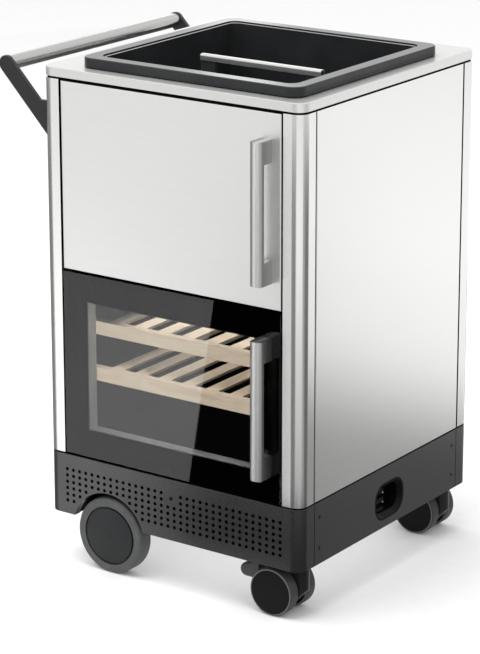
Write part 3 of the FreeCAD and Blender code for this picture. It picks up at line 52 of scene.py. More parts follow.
def add(tree, kind, links=None, **values):
    """Add a shader node, set its inputs by name (underscores stand for spaces) and link others to sockets."""
    node = tree.nodes.new(f"ShaderNode{kind}")
    for name, value in values.items():
        node.inputs[name.replace("_", " ")].default_value = value
    for name, socket in (links or {}).items():
        tree.links.new(socket, node.inputs[name])
    return node


def feed(tree, shader, **sockets):
    """Link sockets to the shader's inputs by name (underscores stand for spaces)."""
    for name, socket in sockets.items():
        tree.links.new(socket, shader.inputs[name.replace("_", " ")])


def maths(tree, operation, first, second=None):
    """Work on a socket; the second value is a socket, a number or nothing."""
    node = add(tree, "Math", {0: first})
    node.operation = operation
    if isinstance(second, float):
        node.inputs[1].default_value = second
    elif second is not None:
        tree.links.new(second, node.inputs[1])
    return node.outputs[0]


def mix(tree, factor, first, second, kind="MIX"):
    """Mix two colours; the first is a socket, the second a socket or a colour with its alpha."""
    node = add(tree, "Mix", {"Factor": factor})
    node.data_type = "RGBA"
    node.blend_type = kind
    tree.links.new(first, node.inputs["A"])
    if isinstance(second, tuple):
        node.inputs["B"].default_value = second
    else:
        tree.links.new(second, node.inputs["B"])
    return node.outputs["Result"]


def place(tree, scale=(1, 1, 1)):
    """Object coordinates in metres, stretched along the axes."""
    coordinates = add(tree, "TexCoord")
    return add(tree, "Mapping", {"Vector": coordinates.outputs["Object"]}, Scale=scale).outputs["Vector"]


def place_along(tree, axis):
    return add(tree, "SeparateXYZ", {"Vector": place(tree)}).outputs[axis]


def normal_along(tree, axis):
    """The part of the object's own surface normal along one axis."""
    return add(tree, "SeparateXYZ", {"Vector": add(tree, "TexCoord").outputs["Normal"]}).outputs[axis]


def stretched(along, share):
    """Scales that draw a texture out along one axis."""
    return tuple(share if axis == along else 1 for axis in "xyz")


def noise(tree, scale=1.0, stretch=(1, 1, 1), detail=3.0, roughness=0.5, distortion=0.0):
    vector = place(tree, stretch)
    texture = add(tree, "TexNoise", {"Vector": vector}, Scale=scale, Detail=detail, Roughness=roughness,
                  Distortion=distortion)
    return texture.outputs["Fac"]


def spread(tree, factor, low, high, near=NOISE_LOW, far=NOISE_HIGH):
    """Map a texture's middle values to a range of numbers."""
    mapped = add(tree, "MapRange", {"Value": factor}, From_Min=near, From_Max=far, To_Min=low, To_Max=high)
    return mapped.outputs["Result"]


def ramp(tree, factor, marks, interpolation="LINEAR"):
    """Colours along a factor; each mark is a position and the colour there."""
    node = add(tree, "ValToRGB", {"Fac": factor})
    node.color_ramp.interpolation = interpolation
    stops = node.color_ramp.elements
    while len(stops) < len(marks):
        stops.new(0.5)
    for stop, (position, colour) in zip(stops, marks):
        stop.position = position
        stop.color = (*colour, 1)
    return node.outputs["Color"]


def blend(tree, factor, *colours):
    """Colours spread evenly along a texture's middle values."""
    step = (NOISE_HIGH - NOISE_LOW) / (len(colours) - 1)
    return ramp(tree, factor, [(NOISE_LOW + step * index, colour) for index, colour in enumerate(colours)])


def bump(tree, shader, height, strength):
    node = add(tree, "Bump", {"Height": height}, Strength=strength, Distance=0.2 * MM)
    tree.links.new(node.outputs["Normal"], shader.inputs["Normal"])


def shade(colour, factor):
    return tuple(min(channel * factor, 1) for channel in colour)


# Materials; a texture's scale is in features per metre

FINE_STREAKS, COARSE_STREAKS, STREAK_SHARE, STEEL_CLOUDS = 1400, 260, 0.012, 5
SATIN_GRAIN, SATIN_STRETCH, SATIN_SPREAD = 900, (1, 1, 0.05), 0.04
ORANGE_PEEL, PEEL_SPREAD, PAINT_CLOUDS = 1500, 0.06, 9
MOULD_PITS, PIT_ROUGHNESS, PIT_SPREAD, PLASTIC_WEAR = 900, 0.65, 0.07, 14
GLASS_WAVES, GLASS_FILM = 7, 30
FLOOR_TOOTH = 40
RUBBER_DUST, RUBBER_GRIT, DUST_SPREAD = 60, 1800, 0.08
WOOD_RINGS, WOOD_FIBRES, WOOD_PORES = 55, 700, 1500
ZINC_CRYSTALS = 90
# Black for painted shade in gaps and holes
PAINTED_SHADE_BLACK = (0.003, 0.003, 0.003, 1)


def brushed_steel(name, colour, roughness, along="z", contrast=0.04, depth=0.02, uneven=0.02):
    """Satin stainless: fine streaks along one axis, with slow cloudy changes in gloss."""
    material, tree, shader = new_material(name)
    stretch = stretched(along, STREAK_SHARE)
    fine = noise(tree, FINE_STREAKS, stretch, detail=2)
    coarse = noise(tree, COARSE_STREAKS, stretch, detail=3)
    cloud = noise(tree, STEEL_CLOUDS, detail=2)
    grain = maths(tree, "MULTIPLY", maths(tree, "ADD", fine, coarse), 0.5)
    gloss = maths(tree, "ADD", spread(tree, grain, roughness - uneven, roughness + uneven),
                  spread(tree, cloud, -uneven / 2, uneven / 2))
    tone = blend(tree, grain, shade(colour, 1 - contrast), shade(colour, 1 + contrast))
    feed(tree, shader, Base_Color=tone, Roughness=gloss)
    shader.inputs["Metallic"].default_value = 1
    shader.inputs["Anisotropic"].default_value = 0.3
    bump(tree, shader, grain, depth)
    return material


def powder_coat(name, colour, roughness=0.5, ior=1.5, specular=0.5):
    """Matt paint with a fine orange-peel texture."""
    material, tree, shader = new_material(name)
    shader.inputs["IOR"].default_value = ior
    shader.inputs["Specular IOR Level"].default_value = specular
    peel = noise(tree, ORANGE_PEEL, detail=2, roughness=0.6)
    cloud = noise(tree, PAINT_CLOUDS, detail=3)
    feed(tree, shader, Base_Color=blend(tree, cloud, shade(colour, 0.9), shade(colour, 1.12)),
         Roughness=spread(tree, peel, roughness - PEEL_SPREAD, roughness + PEEL_SPREAD))
    bump(tree, shader, peel, 0.12)
    return material


def pitted(tree, shader, roughness, texture):
    """The fine eroded texture of a mould."""
    pits = noise(tree, MOULD_PITS, detail=4, roughness=PIT_ROUGHNESS)
    feed(tree, shader, Roughness=spread(tree, pits, roughness - PIT_SPREAD, roughness + PIT_SPREAD))
    bump(tree, shader, pits, texture)


def moulded_plastic(name, colour, roughness=0.45, specular=0.5, texture=0.1):
    """Plastic with a mould's texture and slightly worn colour."""
    material, tree, shader = new_material(name)
    shader.inputs["Specular IOR Level"].default_value = specular
    wear = noise(tree, PLASTIC_WEAR, detail=4)
    feed(tree, shader, Base_Color=blend(tree, wear, shade(colour, 0.85), colour, shade(colour, 1.2)))
    pitted(tree, shader, roughness, texture)
    return material


def castor_plastic(name, axle, bands):
    """Plastic in rings round an axle along Y; a band is a radius in millimetres and the colour outside it. The
    narrow pale band is a painted highlight on the edge of the face.
    """
    material, tree, shader = new_material(name)
    shader.inputs["Specular IOR Level"].default_value = 0.14
    distance = add(tree, "VectorMath", {0: place(tree, (1, 0, 1))})
    distance.operation = "DISTANCE"
    distance.inputs[1].default_value = (axle[0], 0, axle[1])
    reach = bands[-1][0] * 1.1 * MM
    share = spread(tree, distance.outputs["Value"], 0, 1, 0, reach)
    marks = [(radius * MM / reach, colour) for radius, colour in bands]
    feed(tree, shader, Base_Color=ramp(tree, share, marks, "CONSTANT"))
    pitted(tree, shader, 0.45, 0.08)
    return material


def satin(tree, shader, roughness, metallic):
    """The fine upright grain of satin metal."""
    grain = noise(tree, SATIN_GRAIN, SATIN_STRETCH, detail=2)
    feed(tree, shader, Roughness=spread(tree, grain, roughness - SATIN_SPREAD, roughness + SATIN_SPREAD))
    shader.inputs["Metallic"].default_value = metallic
    return grain


def satin_metal(name, colour):
    """Anodised metal that still scatters most of its light."""
    material, tree, shader = new_material(name)
    grain = satin(tree, shader, 0.5, 0.3)
    feed(tree, shader, Base_Color=blend(tree, grain, shade(colour, 0.97), shade(colour, 1.03)))
    return material


def painted_highlight_metal(name, left, right, tones):
    """Satin metal with a painted highlight and painted shade along X: darker at both sides of a bar and bright
    on its crown, between two places on X.
    """
    material, tree, shader = new_material(name)
    across = spread(tree, place_along(tree, "X"), 0, 1, left, right)
    marks = [(position, (tone, tone, tone * 0.99)) for position, tone in tones]
    feed(tree, shader, Base_Color=ramp(tree, across, marks))
    satin(tree, shader, 0.4, 1)
    return material


def soft_rubber(name, colour, roughness=0.75):
    """Dull rubber with a trace of dust."""
    material, tree, shader = new_material(name)
    dust = noise(tree, RUBBER_DUST, detail=6, roughness=0.7)
    grit = noise(tree, RUBBER_GRIT, detail=2)
    feed(tree, shader, Base_Color=blend(tree, dust, shade(colour, 0.8), colour, shade(colour, 1.35)),
         Roughness=spread(tree, dust, roughness - DUST_SPREAD, roughness + DUST_SPREAD))
    bump(tree, shader, grit, 0.15)
    return material


def pale_wood(name, along):
    """Untreated beech with long fibres, faint rings and short dark pores."""
    material, tree, shader = new_material(name)
    rings = noise(tree, WOOD_RINGS, stretched(along, 0.12), detail=2, distortion=0.6)
    fibres = noise(tree, WOOD_FIBRES, stretched(along, 0.03), detail=4, roughness=0.6)
    pores = noise(tree, WOOD_PORES, stretched(along, 0.08), detail=1)
    ground = blend(tree, rings, (0.56, 0.44, 0.32), (0.68, 0.56, 0.43), (0.6, 0.49, 0.36))
    tone = blend(tree, fibres, (0.84, 0.82, 0.79), (1.0, 1.0, 1.0))
    share = spread(tree, pores, 0.35, 1.0, 0.35, 0.6)
    feed(tree, shader, Base_Color=mix(tree, share, ground, tone, "MULTIPLY"),
         Roughness=spread(tree, fibres, 0.5, 0.68))
    bump(tree, shader, fibres, 0.25)
    return material


def tinted_glass(name, colour):
    """Grey float glass with the faintest wave in its surface."""
    material, tree, shader = new_material(name)
    wave = noise(tree, GLASS_WAVES, detail=1)
    film = noise(tree, GLASS_FILM, detail=4)
    feed(tree, shader, Base_Color=blend(tree, film, shade(colour, 0.96), colour),
         Roughness=spread(tree, film, 0.0, 0.012))
    shader.inputs["Transmission Weight"].default_value = 1
    shader.inputs["IOR"].default_value = 1.5
    bump(tree, shader, wave, 0.02)
    return material


def zinc(name, colour):
    """Galvanised sheet with its patchwork of crystals."""
    material, tree, shader = new_material(name)
    crystals = add(tree, "TexVoronoi", {"Vector": place(tree)}, Scale=ZINC_CRYSTALS)
    tone = blend(tree, crystals.outputs["Color"], shade(colour, 0.75), shade(colour, 1.15))
    gloss = spread(tree, crystals.outputs["Distance"], 0.38, 0.52, 0, 0.6)
    feed(tree, shader, Base_Color=tone, Roughness=gloss)
    shader.inputs["Metallic"].default_value = 0.9
    return material


# Masks, which are one where a face gets painted shade or a painted paler look

VENT_SHEET_BACK = -0.2762


def door_fold_shade(tree):
    """Painted shade in the door gaps: the folded edges of a door skin that faces the front."""
    return spread(tree, maths(tree, "ABSOLUTE", normal_along(tree, "Y")), 1, 0, 0.6, 0.8)


def door_flank_shade(tree):
    """Painted shade in the door gap: the left post's flank beside the doors."""
    return spread(tree, normal_along(tree, "X"), 0, 1, 0.7, 0.9)


def vent_wall_shade(tree):
    """Painted shade: the walls of the holes in the plinth's front sheet."""
    edge = 0.05 * MM
    near = spread(tree, place_along(tree, "Y"), 1, 0, VENT_SHEET_BACK - edge, VENT_SHEET_BACK + edge)
    walls = spread(tree, maths(tree, "ABSOLUTE", normal_along(tree, "Y")), 1, 0, 0.5, 0.7)
    return maths(tree, "MULTIPLY", near, walls)


def upper_faces(tree):
    return spread(tree, normal_along(tree, "Z"), 0, 1, 0.6, 0.8)


def darken(material, mask):
    """Shade a material to black where the mask, made in its node tree, is one."""
    tree = material.node_tree
    shader = tree.nodes["Principled BSDF"]
    colour = shader.inputs["Base Color"].links[0].from_socket
    feed(tree, shader, Base_Color=mix(tree, mask(tree), colour, PAINTED_SHADE_BLACK))


def paint_pale_top(material, metallic, tone):
    """Painted light: the upper face of a sheet is made to scatter part of its light, in a lower tone, so that
    it reads pale where it would mirror dark things.
    """
    tree = material.node_tree
    shader = tree.nodes["Principled BSDF"]
    colour = shader.inputs["Base Color"].links[0].from_socket
    mask = upper_faces(tree)
    feed(tree, shader, Metallic=spread(tree, mask, 1, metallic, 0, 1),
         Base_Color=mix(tree, mask, colour, (tone, tone, tone, 1), "MULTIPLY"))


# Finishes: each is a maker and its values

STEEL, POST_STEEL = (0.80, 0.80, 0.79), (0.76, 0.76, 0.75)
ANTHRACITE = (0.0102, 0.0107, 0.0108)
HANDLE_LEFT, HANDLE_RIGHT = 0.263, 0.288
# Painted highlight and painted shade across the handles, as tones from left to right
HANDLE_PAINTED_LIGHT = [(0, 0.3), (0.3, 0.48), (0.55, 0.85), (0.72, 0.8), (0.88, 0.42), (1, 0.33)]
CASTOR_AXLE = (0.2815, 0.046)
# The band from 42 to 44 mm is a painted highlight round the edge of a castor's face
CASTOR_TONES_AND_HIGHLIGHT = [(0, (0.002, 0.0021, 0.0022)), (42, (0.13, 0.13, 0.13)), (44, (0.045, 0.046, 0.047))]

FINISHES = {
    "panel_steel": (brushed_steel, STEEL, 0.34, "x", 0.018),
    "door_steel": (brushed_steel, STEEL, 0.34, "x", 0.018),
    "side_steel": (brushed_steel, STEEL, 0.25, "y", 0.018, 0.003, 0.008),
    "post_steel": (brushed_steel, POST_STEEL, 0.2, "z", 0.025),
    "left_post_steel": (brushed_steel, POST_STEEL, 0.2, "z", 0.025),
    "worktop_steel": (brushed_steel, (0.74, 0.74, 0.73), 0.33, "x", 0.025),
    "bar_steel": (brushed_steel, (0.5, 0.5, 0.49), 0.22, "y", 0.06),
    "grip_metal": (brushed_steel, (0.8, 0.8, 0.79), 0.45, "x"),
    "turned_steel": (brushed_steel, (0.5, 0.5, 0.5), 0.3, "y"),
    "screw_steel": (brushed_steel, (0.012, 0.012, 0.0125), 0.4, "x"),
    # Steel for the bead that paints a highlight inside the tub's step
    "bead_steel": (brushed_steel, (0.55, 0.55, 0.55), 0.3, "x"),
    # The handles carry a painted highlight and painted shade by their place along X
    "handle_steel": (painted_highlight_metal, HANDLE_LEFT, HANDLE_RIGHT, HANDLE_PAINTED_LIGHT),
    "reveal_metal": (satin_metal, (0.45, 0.46, 0.47)),
    "anthracite": (powder_coat, ANTHRACITE, 0.3, 1.73),
    "vent_paint": (powder_coat, ANTHRACITE, 0.3, 1.73),
    # Paler paint for the bead that paints a highlight on the plinth's top edge
    "edge_paint": (powder_coat, (0.12, 0.12, 0.12), 0.35),
    "arm_paint": (powder_coat, (0.008, 0.0085, 0.0085), 0.36, 1.5, 0.42),
    "deck_paint": (powder_coat, (0.002, 0.002, 0.002), 0.7, 1.5, 0.05),
    "tub_plastic": (moulded_plastic, (0.0185, 0.0195, 0.0205), 0.2, 0.28, 0.05),
    "divider_plastic": (moulded_plastic, (0.032, 0.0335, 0.035), 0.3, 0.3, 0.05),
    "hood_plastic": (moulded_plastic, (0.008, 0.0085, 0.009), 0.42, 0.35),
    "inlet_plastic": (moulded_plastic, (0.002, 0.0021, 0.0022), 0.5, 0.12),
    "liner_plastic": (moulded_plastic, (0.002, 0.002, 0.002), 0.8, 0.0),
    "core_plastic": (moulded_plastic, (0.06, 0.06, 0.06), 0.5),
    "cap_plastic": (moulded_plastic, (0.013, 0.0142, 0.015), 0.4, 0.25),
    "pedal_plastic": (moulded_plastic, (0.045, 0.046, 0.046), 0.5, 0.35),
    # Pale plastic for the beads that paint highlights on the castors' hoods
    "lip_plastic": (moulded_plastic, (0.2, 0.2, 0.2), 0.45, 0.3),
    "castor_plastic": (castor_plastic, CASTOR_AXLE, CASTOR_TONES_AND_HIGHLIGHT),
    "tyre_rubber": (soft_rubber, (0.062, 0.063, 0.064), 0.6),
    "seal_rubber": (soft_rubber, (0.004, 0.004, 0.004), 0.8),
    "pane_glass": (tinted_glass, (0.6, 0.61, 0.61)),
    "rail_wood": (pale_wood, "x"),
    "slat_wood": (pale_wood, "y"),
    "zinc_sheet": (zinc, (0.5, 0.51, 0.52)),
    # A darker copy of the zinc, painted shade on the base plate inside the plinth
    "dark_zinc": (zinc, (0.03, 0.03, 0.031)),
}
MATERIALS = {name: maker(name, *values) for name, (maker, *values) in FINISHES.items()}
# Painted shade: black on the door skin's folded edges, the left post's flank beside the doors and the walls of
# the plinth's vent holes
darken(MATERIALS["door_steel"], door_fold_shade)
darken(MATERIALS["left_post_steel"], door_flank_shade)
darken(MATERIALS["vent_paint"], vent_wall_shade)
# Painted light: the worktop's upper face reads paler than its steel edges
paint_pale_top(MATERIALS["worktop_steel"], 0.6, 0.68)

NODE_MATERIALS = {
    "panel_steel": ["back_panel"],
    "door_steel": ["upper_door_skin"],
    "side_steel": ["side_panel_left", "side_panel_right"],
    "post_steel": ["post_front_right", "post_rear_left", "post_rear_right"],
    "left_post_steel": ["post_front_left"],
    "worktop_steel": ["worktop"],
    "handle_steel": ["upper_door_handle", "glass_door_handle"],
    "bar_steel": ["push_bar"],
    "grip_metal": ["divider_grip"],
    "turned_steel": ["wheel_axle", "inlet_pins"],
    "anthracite": ["plinth_rear", "plinth_left", "plinth_right"],
    "vent_paint": ["plinth_front"],
    "arm_paint": ["push_arm_front", "push_arm_rear"],
    "deck_paint": ["lower_deck", "upper_deck", "wheel_wells", "compressor", "condenser", "hinges"],
    "tub_plastic": ["ice_tub"],
    "divider_plastic": ["tub_divider"],
    "hood_plastic": ["front_castor_hood", "rear_castor_hood", "fan_frame", "fan_rotor"],
    "inlet_plastic": ["inlet_housing"],
    "liner_plastic": ["fridge_liner", "cupboard_liner", "shelf_runners", "glass_door_frame", "control_box",
                      "evaporator_plate"],
    "core_plastic": ["upper_door_core"],
    "cap_plastic": ["front_wheel_hub", "rear_wheel_hub"],
    "castor_plastic": ["front_castor_wheels", "rear_castor_wheels"],
    "pedal_plastic": ["brake_pedal"],
    "tyre_rubber": ["front_wheel_tyre", "rear_wheel_tyre"],
    "seal_rubber": ["upper_door_seal", "glass_door_seal", "panel_strips"],
    "pane_glass": ["glass_pane"],
    "reveal_metal": ["glass_door_reveal"],
    "rail_wood": ["upper_shelf_rails", "lower_shelf_rails"],
    "slat_wood": ["upper_shelf_slats", "lower_shelf_slats"],
    "zinc_sheet": ["axle_brackets", "castor_sockets"],
    "dark_zinc": ["base_plate"],
}


def paint(obj, material):
    for slot in obj.material_slots:
        slot.material = material
    if not obj.material_slots:
        obj.data.materials.append(material)


for material_name, node_names in NODE_MATERIALS.items():
    for node_name in node_names:
        paint(nodes[node_name], MATERIALS[material_name])

# Small fittings in millimetres at the CAD's places: screws, and beads and strips that paint shade into seams
# and gaps and highlights onto edges

LEFT, RIGHT, FRONT, BACK = -228.5, 351.5, -278.5, 315.5
CABINET = ((LEFT, FRONT), (RIGHT, BACK))
CABINET_CORNER = 22
PLINTH_BOTTOM, PLINTH_TOP, PLINTH_WRAP = 100, 220, 46.3
PANEL_BOTTOM, PANEL_TOP = 224, 950
RIM = ((-160.5, -252.5), (324.5, 227.5))
RIM_CORNER, RIM_FOOT = 26, 972
TUB_STEP, TUB_STEP_CORNER, TUB_STEP_INSET = 987.1, 17.2, 28.8
CASTOR_STEM = 311.5
CASTOR_Y = {"front_castor": -230.5, "rear_castor": 267.5}

SCREW_SIDES = 36
# Radius, height and whether the ring is a hexagon, from the head's edge to the bottom of its socket
SCREW_RINGS = [(3.6, 0.0, False), (3.5, 0.5, False), (3.1, 0.8, False), (1.7, 0.7, True), (1.6, 0.1, True)]
DOMED, FLAT = 1.0, 0.1
MIDDLE_SCREW_Z, SIDE_SCREW_Z, SIDE_SCREW_INSET = 183, (131, 191), 63

SEAM_DEPTH, SEAM_ROUND, SEAM_END = 0.6, 0.1, 1.5
PLINTH_SEAM_WIDTH, PLINTH_SEAM_INSET = 1.6, 0.2
PANEL_SEAM, BACK_SEAM, PANEL_SEAM_WIDTH, PANEL_SEAM_INSET, PANEL_SEAM_END = 44.75, 41.75, 3.2, 0.4, 0.5

EDGE_Z, PLINTH_GAP_SHADE_Z, SHADE_BEAD_INSET = PLINTH_TOP - 0.7, PLINTH_TOP + 2, 3
# Radii of the beads
EDGE_HIGHLIGHT_BEAD, PLINTH_GAP_SHADE, RIM_SHADOW_BEAD, TUB_HIGHLIGHT_BEAD, LIP_HIGHLIGHT_BEAD = 0.9, 1.9, 0.95, 1.1, 0.7
# A pale bead along the edge of a castor's hood, a painted highlight, from its stem
HOOD_LIP_HIGHLIGHT = [(22.7, 8.4, 95), (22.7, 8.4, 48), (12, 12.4, 37), (-8, 13.8, 17)]


def settle(obj, material, body):
    """Link a new piece, give it its material and let it ride on a body."""
    scene.collection.objects.link(obj)
    paint(obj, MATERIALS[material])
    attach(obj, body)


def tube(name, points, radius, material, body, closed=True):
    """A thin round bead along a line of points."""
    data = bpy.data.curves.new(name, "CURVE")
    data.dimensions = "3D"
    data.bevel_depth = radius * MM
    data.bevel_resolution = 3
    data.use_fill_caps = True
    line = data.splines.new("POLY")
    line.points.add(len(points) - 1)
    for spot, point in zip(line.points, points):
        spot.co = (*(Vector(point) * MM), 1)
    line.use_cyclic_u = closed
    settle(bpy.data.objects.new(name, data), material, body)


def inset_loop(outline, inset, corner, z, steps=8):
    """Points round an outline's rectangle, drawn in on all sides, with round corners."""
    (left, front), (right, back) = outline
    reach = inset + corner
    centres = [(right - reach, back - reach), (left + reach, back - reach), (left + reach, front + reach),
               (right - reach, front + reach)]
    points = []
    for turn, (x, y) in enumerate(centres):
        for step in range(steps + 1):
            angle = math.radians(90 * turn + 90 * step / steps)
            points.append((x + corner * math.cos(angle), y + corner * math.sin(angle), z))
    return points


def mesh_piece(name, build, material, body):
    bmesh.ops.recalc_face_normals(build, faces=build.faces)
    mesh = bpy.data.meshes.new(name)
    build.to_mesh(mesh)
    build.free()
    settle(bpy.data.objects.new(name, mesh), material, body)


def screw_head(build, centre, outward, height_share):
    """A domed head with a hexagon socket; a small height share lowers it where it may not stand proud."""
    turn = Vector((0, 0, 1)).rotation_difference(Vector(outward)).to_matrix().to_4x4()
    place_at = Matrix.Translation(Vector(centre) * MM) @ turn
    rings = []
    for radius, height, hexagon in SCREW_RINGS:
        ring = []
        for side in range(SCREW_SIDES):
            angle = 2 * math.pi * side / SCREW_SIDES
            reach = radius / math.cos(angle % (math.pi / 3) - math.pi / 6) if hexagon else radius
            spot = Vector((reach * math.cos(angle), reach * math.sin(angle), height * height_share)) * MM
            ring.append(build.verts.new(place_at @ spot))
        rings.append(ring)
    for inner, outer in zip(rings[1:], rings):
        for side in range(SCREW_SIDES):
            after = (side + 1) % SCREW_SIDES
            build.faces.new((outer[side], outer[after], inner[after], inner[side]))
    build.faces.new(rings[-1])


def plinth_screws():
    build = bmesh.new()
    middle = (LEFT + RIGHT) / 2
    for y, outward, height_share in ((FRONT, -1, DOMED), (BACK, 1, FLAT)):
        screw_head(build, (middle, y, MIDDLE_SCREW_Z), (0, outward, 0), height_share)
    for x, outward in ((LEFT, -1), (RIGHT, 1)):
        for y in (FRONT + SIDE_SCREW_INSET, BACK - SIDE_SCREW_INSET):
            for z in SIDE_SCREW_Z:
                screw_head(build, (x, y, z), (outward, 0, 0), FLAT)
    mesh_piece("plinth_screws", build, "screw_steel", "cabinet")


def side_joints(inset):
    """The places of upright joints in both sides, as far from the front as from the back."""
    return [(x, y, "x") for x in (LEFT, RIGHT) for y in (FRONT + inset, BACK - inset)]


def seam_lines(name, spots, low, high, width, inset):
    """Black strips set into upright joints, painted shade in the seams; each spot is a place and the axis that
    its face looks along.
    """
    build = bmesh.new()
    for x, y, axis in spots:
        if axis == "x":
            size = (SEAM_DEPTH, width, high - low)
            back = Vector((math.copysign(inset, x), 0, 0))
        else:
            size = (width, SEAM_DEPTH, high - low)
            back = Vector((0, math.copysign(inset, y), 0))
        spot = Matrix.Translation((Vector((x, y, (low + high) / 2)) - back) * MM)
        shape = Matrix.Diagonal((*(Vector(size) * MM), 1))
        bmesh.ops.create_cube(build, size=1, matrix=spot @ shape)
    bmesh.ops.bevel(build, geom=build.edges[:], offset=SEAM_ROUND * MM, segments=2, affect="EDGES")
    mesh_piece(name, build, "liner_plastic", "cabinet")


plinth_screws()
# Black strips in the side and back joints, painted shade in the seams
seam_lines("plinth_seam_shade", side_joints(PLINTH_WRAP), PLINTH_BOTTOM + SEAM_END, PLINTH_TOP - SEAM_END,
           PLINTH_SEAM_WIDTH, PLINTH_SEAM_INSET)
back_joints = [(x, BACK, "y") for x in (LEFT + BACK_SEAM, RIGHT - BACK_SEAM)]
seam_lines("panel_seam_shade", side_joints(PANEL_SEAM) + back_joints, PANEL_BOTTOM + PANEL_SEAM_END,
           PANEL_TOP - PANEL_SEAM_END, PANEL_SEAM_WIDTH, PANEL_SEAM_INSET)
# A paler bead on the plinth's top edge, a painted highlight
tube("plinth_edge_highlight", inset_loop(CABINET, EDGE_HIGHLIGHT_BEAD, CABINET_CORNER - EDGE_HIGHLIGHT_BEAD, EDGE_Z), EDGE_HIGHLIGHT_BEAD,
     "edge_paint", "cabinet")
# A black bead in the gap between the plinth and the body, painted shade
tube("plinth_gap_shade", inset_loop(CABINET, SHADE_BEAD_INSET, CABINET_CORNER - SHADE_BEAD_INSET, PLINTH_GAP_SHADE_Z),
     PLINTH_GAP_SHADE, "liner_plastic", "cabinet")
# A black bead under the tub's rim, a painted shadow
tube("rim_shadow_bead", inset_loop(RIM, SHADE_BEAD_INSET, RIM_CORNER - SHADE_BEAD_INSET, RIM_FOOT), RIM_SHADOW_BEAD,
     "liner_plastic", "cabinet")
# A steel bead inside the tub's step, a painted highlight on its inner edge
tube("tub_bead", inset_loop(RIM, TUB_STEP_INSET, TUB_STEP_CORNER, TUB_STEP), TUB_HIGHLIGHT_BEAD,
     "bead_steel", "cabinet")
# Pale beads on the castors' hoods, painted highlights on their edges
for castor, castor_y in CASTOR_Y.items():
    tube(f"{castor}_lip", [(CASTOR_STEM + x, castor_y + y, z) for x, y, z in HOOD_LIP_HIGHLIGHT], LIP_HIGHLIGHT_BEAD,
         "lip_plastic", castor, closed=False)

# Studio: pale floor, bright surroundings, soft lights and cards that only reflections show, in metres

FLOOR_HALF = 30.0
SKY_LOW, SKY_HIGH = 1.0, 1.05
# Cards that overlap lie at heights of their own
CARD_LIFT, SHADE_LIFT, FLAG_LIFT, CORNER_LIFT = 0.004, 0.005, 0.007, 0.009
NEAR_POST, LEFT_POST = (0.33, -0.26), (-0.21, -0.26)
WINDOW_X, WINDOW_Z, REVEAL_Y = 0.0615, 0.405, -0.2625

# Place, target, size, watts and beam in degrees
LIGHTS = {
    "top_light": ((-0.5, -0.6, 3.4), (0.05, 0, 0.5), (3.0, 3.0), 110, 180),
    "fridge_light": ((0.09, -0.01, 0.557), (0.09, -0.01, 0.3), (0.34, 0.46), 1.25, 70),
    "rail_light": ((WINDOW_X, -0.228, 0.452), (WINDOW_X, -0.228, 0.3), (0.42, 0.03), 0.07, 60),
    "shelf_light": ((WINDOW_X, -0.247, WINDOW_Z), (WINDOW_X, 0.0, WINDOW_Z), (0.43, 0.26), 0.42, 40),
    "reveal_side_light": ((0.246, REVEAL_Y, WINDOW_Z), (-0.13, REVEAL_Y, WINDOW_Z), (0.016, 0.235), 0.022, 20),
    "reveal_top_light": ((WINDOW_X, REVEAL_Y, 0.524), (WINDOW_X, REVEAL_Y, 0.28), (0.36, 0.016), 0.009, 20),
    "floor_fill": ((WINDOW_X, 0.02, 0.097), (WINDOW_X, 0.02, 0.0), (0.5, 0.52), 0.75, 180),
}


def rectangle(left, right, front, back):
    return [(left, front), (right, front), (right, back), (left, back)]


# Corners on the floor, and the tone at the first edge and, where it changes, at the third
FLOOR_CARDS = {
    "front_dark": ([(0.19, -0.45), (-0.045, -0.45), (-1.034, -1.95), (-0.83, -1.95)], 0.012),
    "plinth_shade": ([(-0.045, -0.45), (-0.245, -0.755), (-0.445, -0.755), (-0.245, -0.45)], 0.4, 1.2),
    "plinth_dark": ([(0.36, -0.42), (0.19, -0.45), (-0.017, -0.755), (0.15, -0.755)], 0.03),
    "front_grey": ([(-0.84, -1.95), (-1.06, -1.95), (-1.96, -3.3), (-1.76, -3.3)], 0.05),
    "side_low": (rectangle(0.36, 3.0, -0.2, 0.65), 0.3, 0.4),
    "side_rise": (rectangle(0.36, 3.0, 0.65, 1.2), 0.4, 1.15),
    "side_shade": (rectangle(0.36, 3.0, 1.2, 1.9), 1.12, 1.2),
    "side_glow": (rectangle(0.36, 4.0, 1.9, 4.5), 1.25, 1.08),
    "bar_shade": (rectangle(-1.4, 0.3, 0.75, 2.2), 0.08),
}
# Edges along X and Z, place along Y and tone
BACK_CARDS = {
    "back_glow": (rectangle(-6.0, 1.5, 0.9, 4.0), 4.5, 1.3),
    "back_strip": (rectangle(-3.3, -2.95, 1.8, 3.4), 4.48, 3.2),
}
# Foot, first headings and width of the sectors in degrees, distances, lift and tones
FANS = {
    "front_flag": (NEAR_POST, [-117], 38, (0.05, 4.0), FLAG_LIFT, 0.2),
    "right_mid": (NEAR_POST, [-14], 22, (0.05, 4.0), FLAG_LIFT, 0.4),
    "right_flag": (NEAR_POST, [8], 41, (0.05, 4.0), FLAG_LIFT, 0.14),
    "left_flag": (LEFT_POST, [125, 172], 47, (0.05, 5.5), FLAG_LIFT, 0.25),
    "corner_shade": (NEAR_POST, [-110, -60, -10], 50, (0.05, 0.62), CORNER_LIFT, 0.05),
    "post_shade": (NEAR_POST, [-120, -80, -40], 40, (0.6, 2.2), SHADE_LIFT, 0.5, 1.0),
}


def quad(name, corners):
    mesh = bpy.data.meshes.new(name)
    mesh.from_pydata(corners, [], [(0, 1, 2, 3)])
    obj = bpy.data.objects.new(name, mesh)
    scene.collection.objects.link(obj)
    return obj


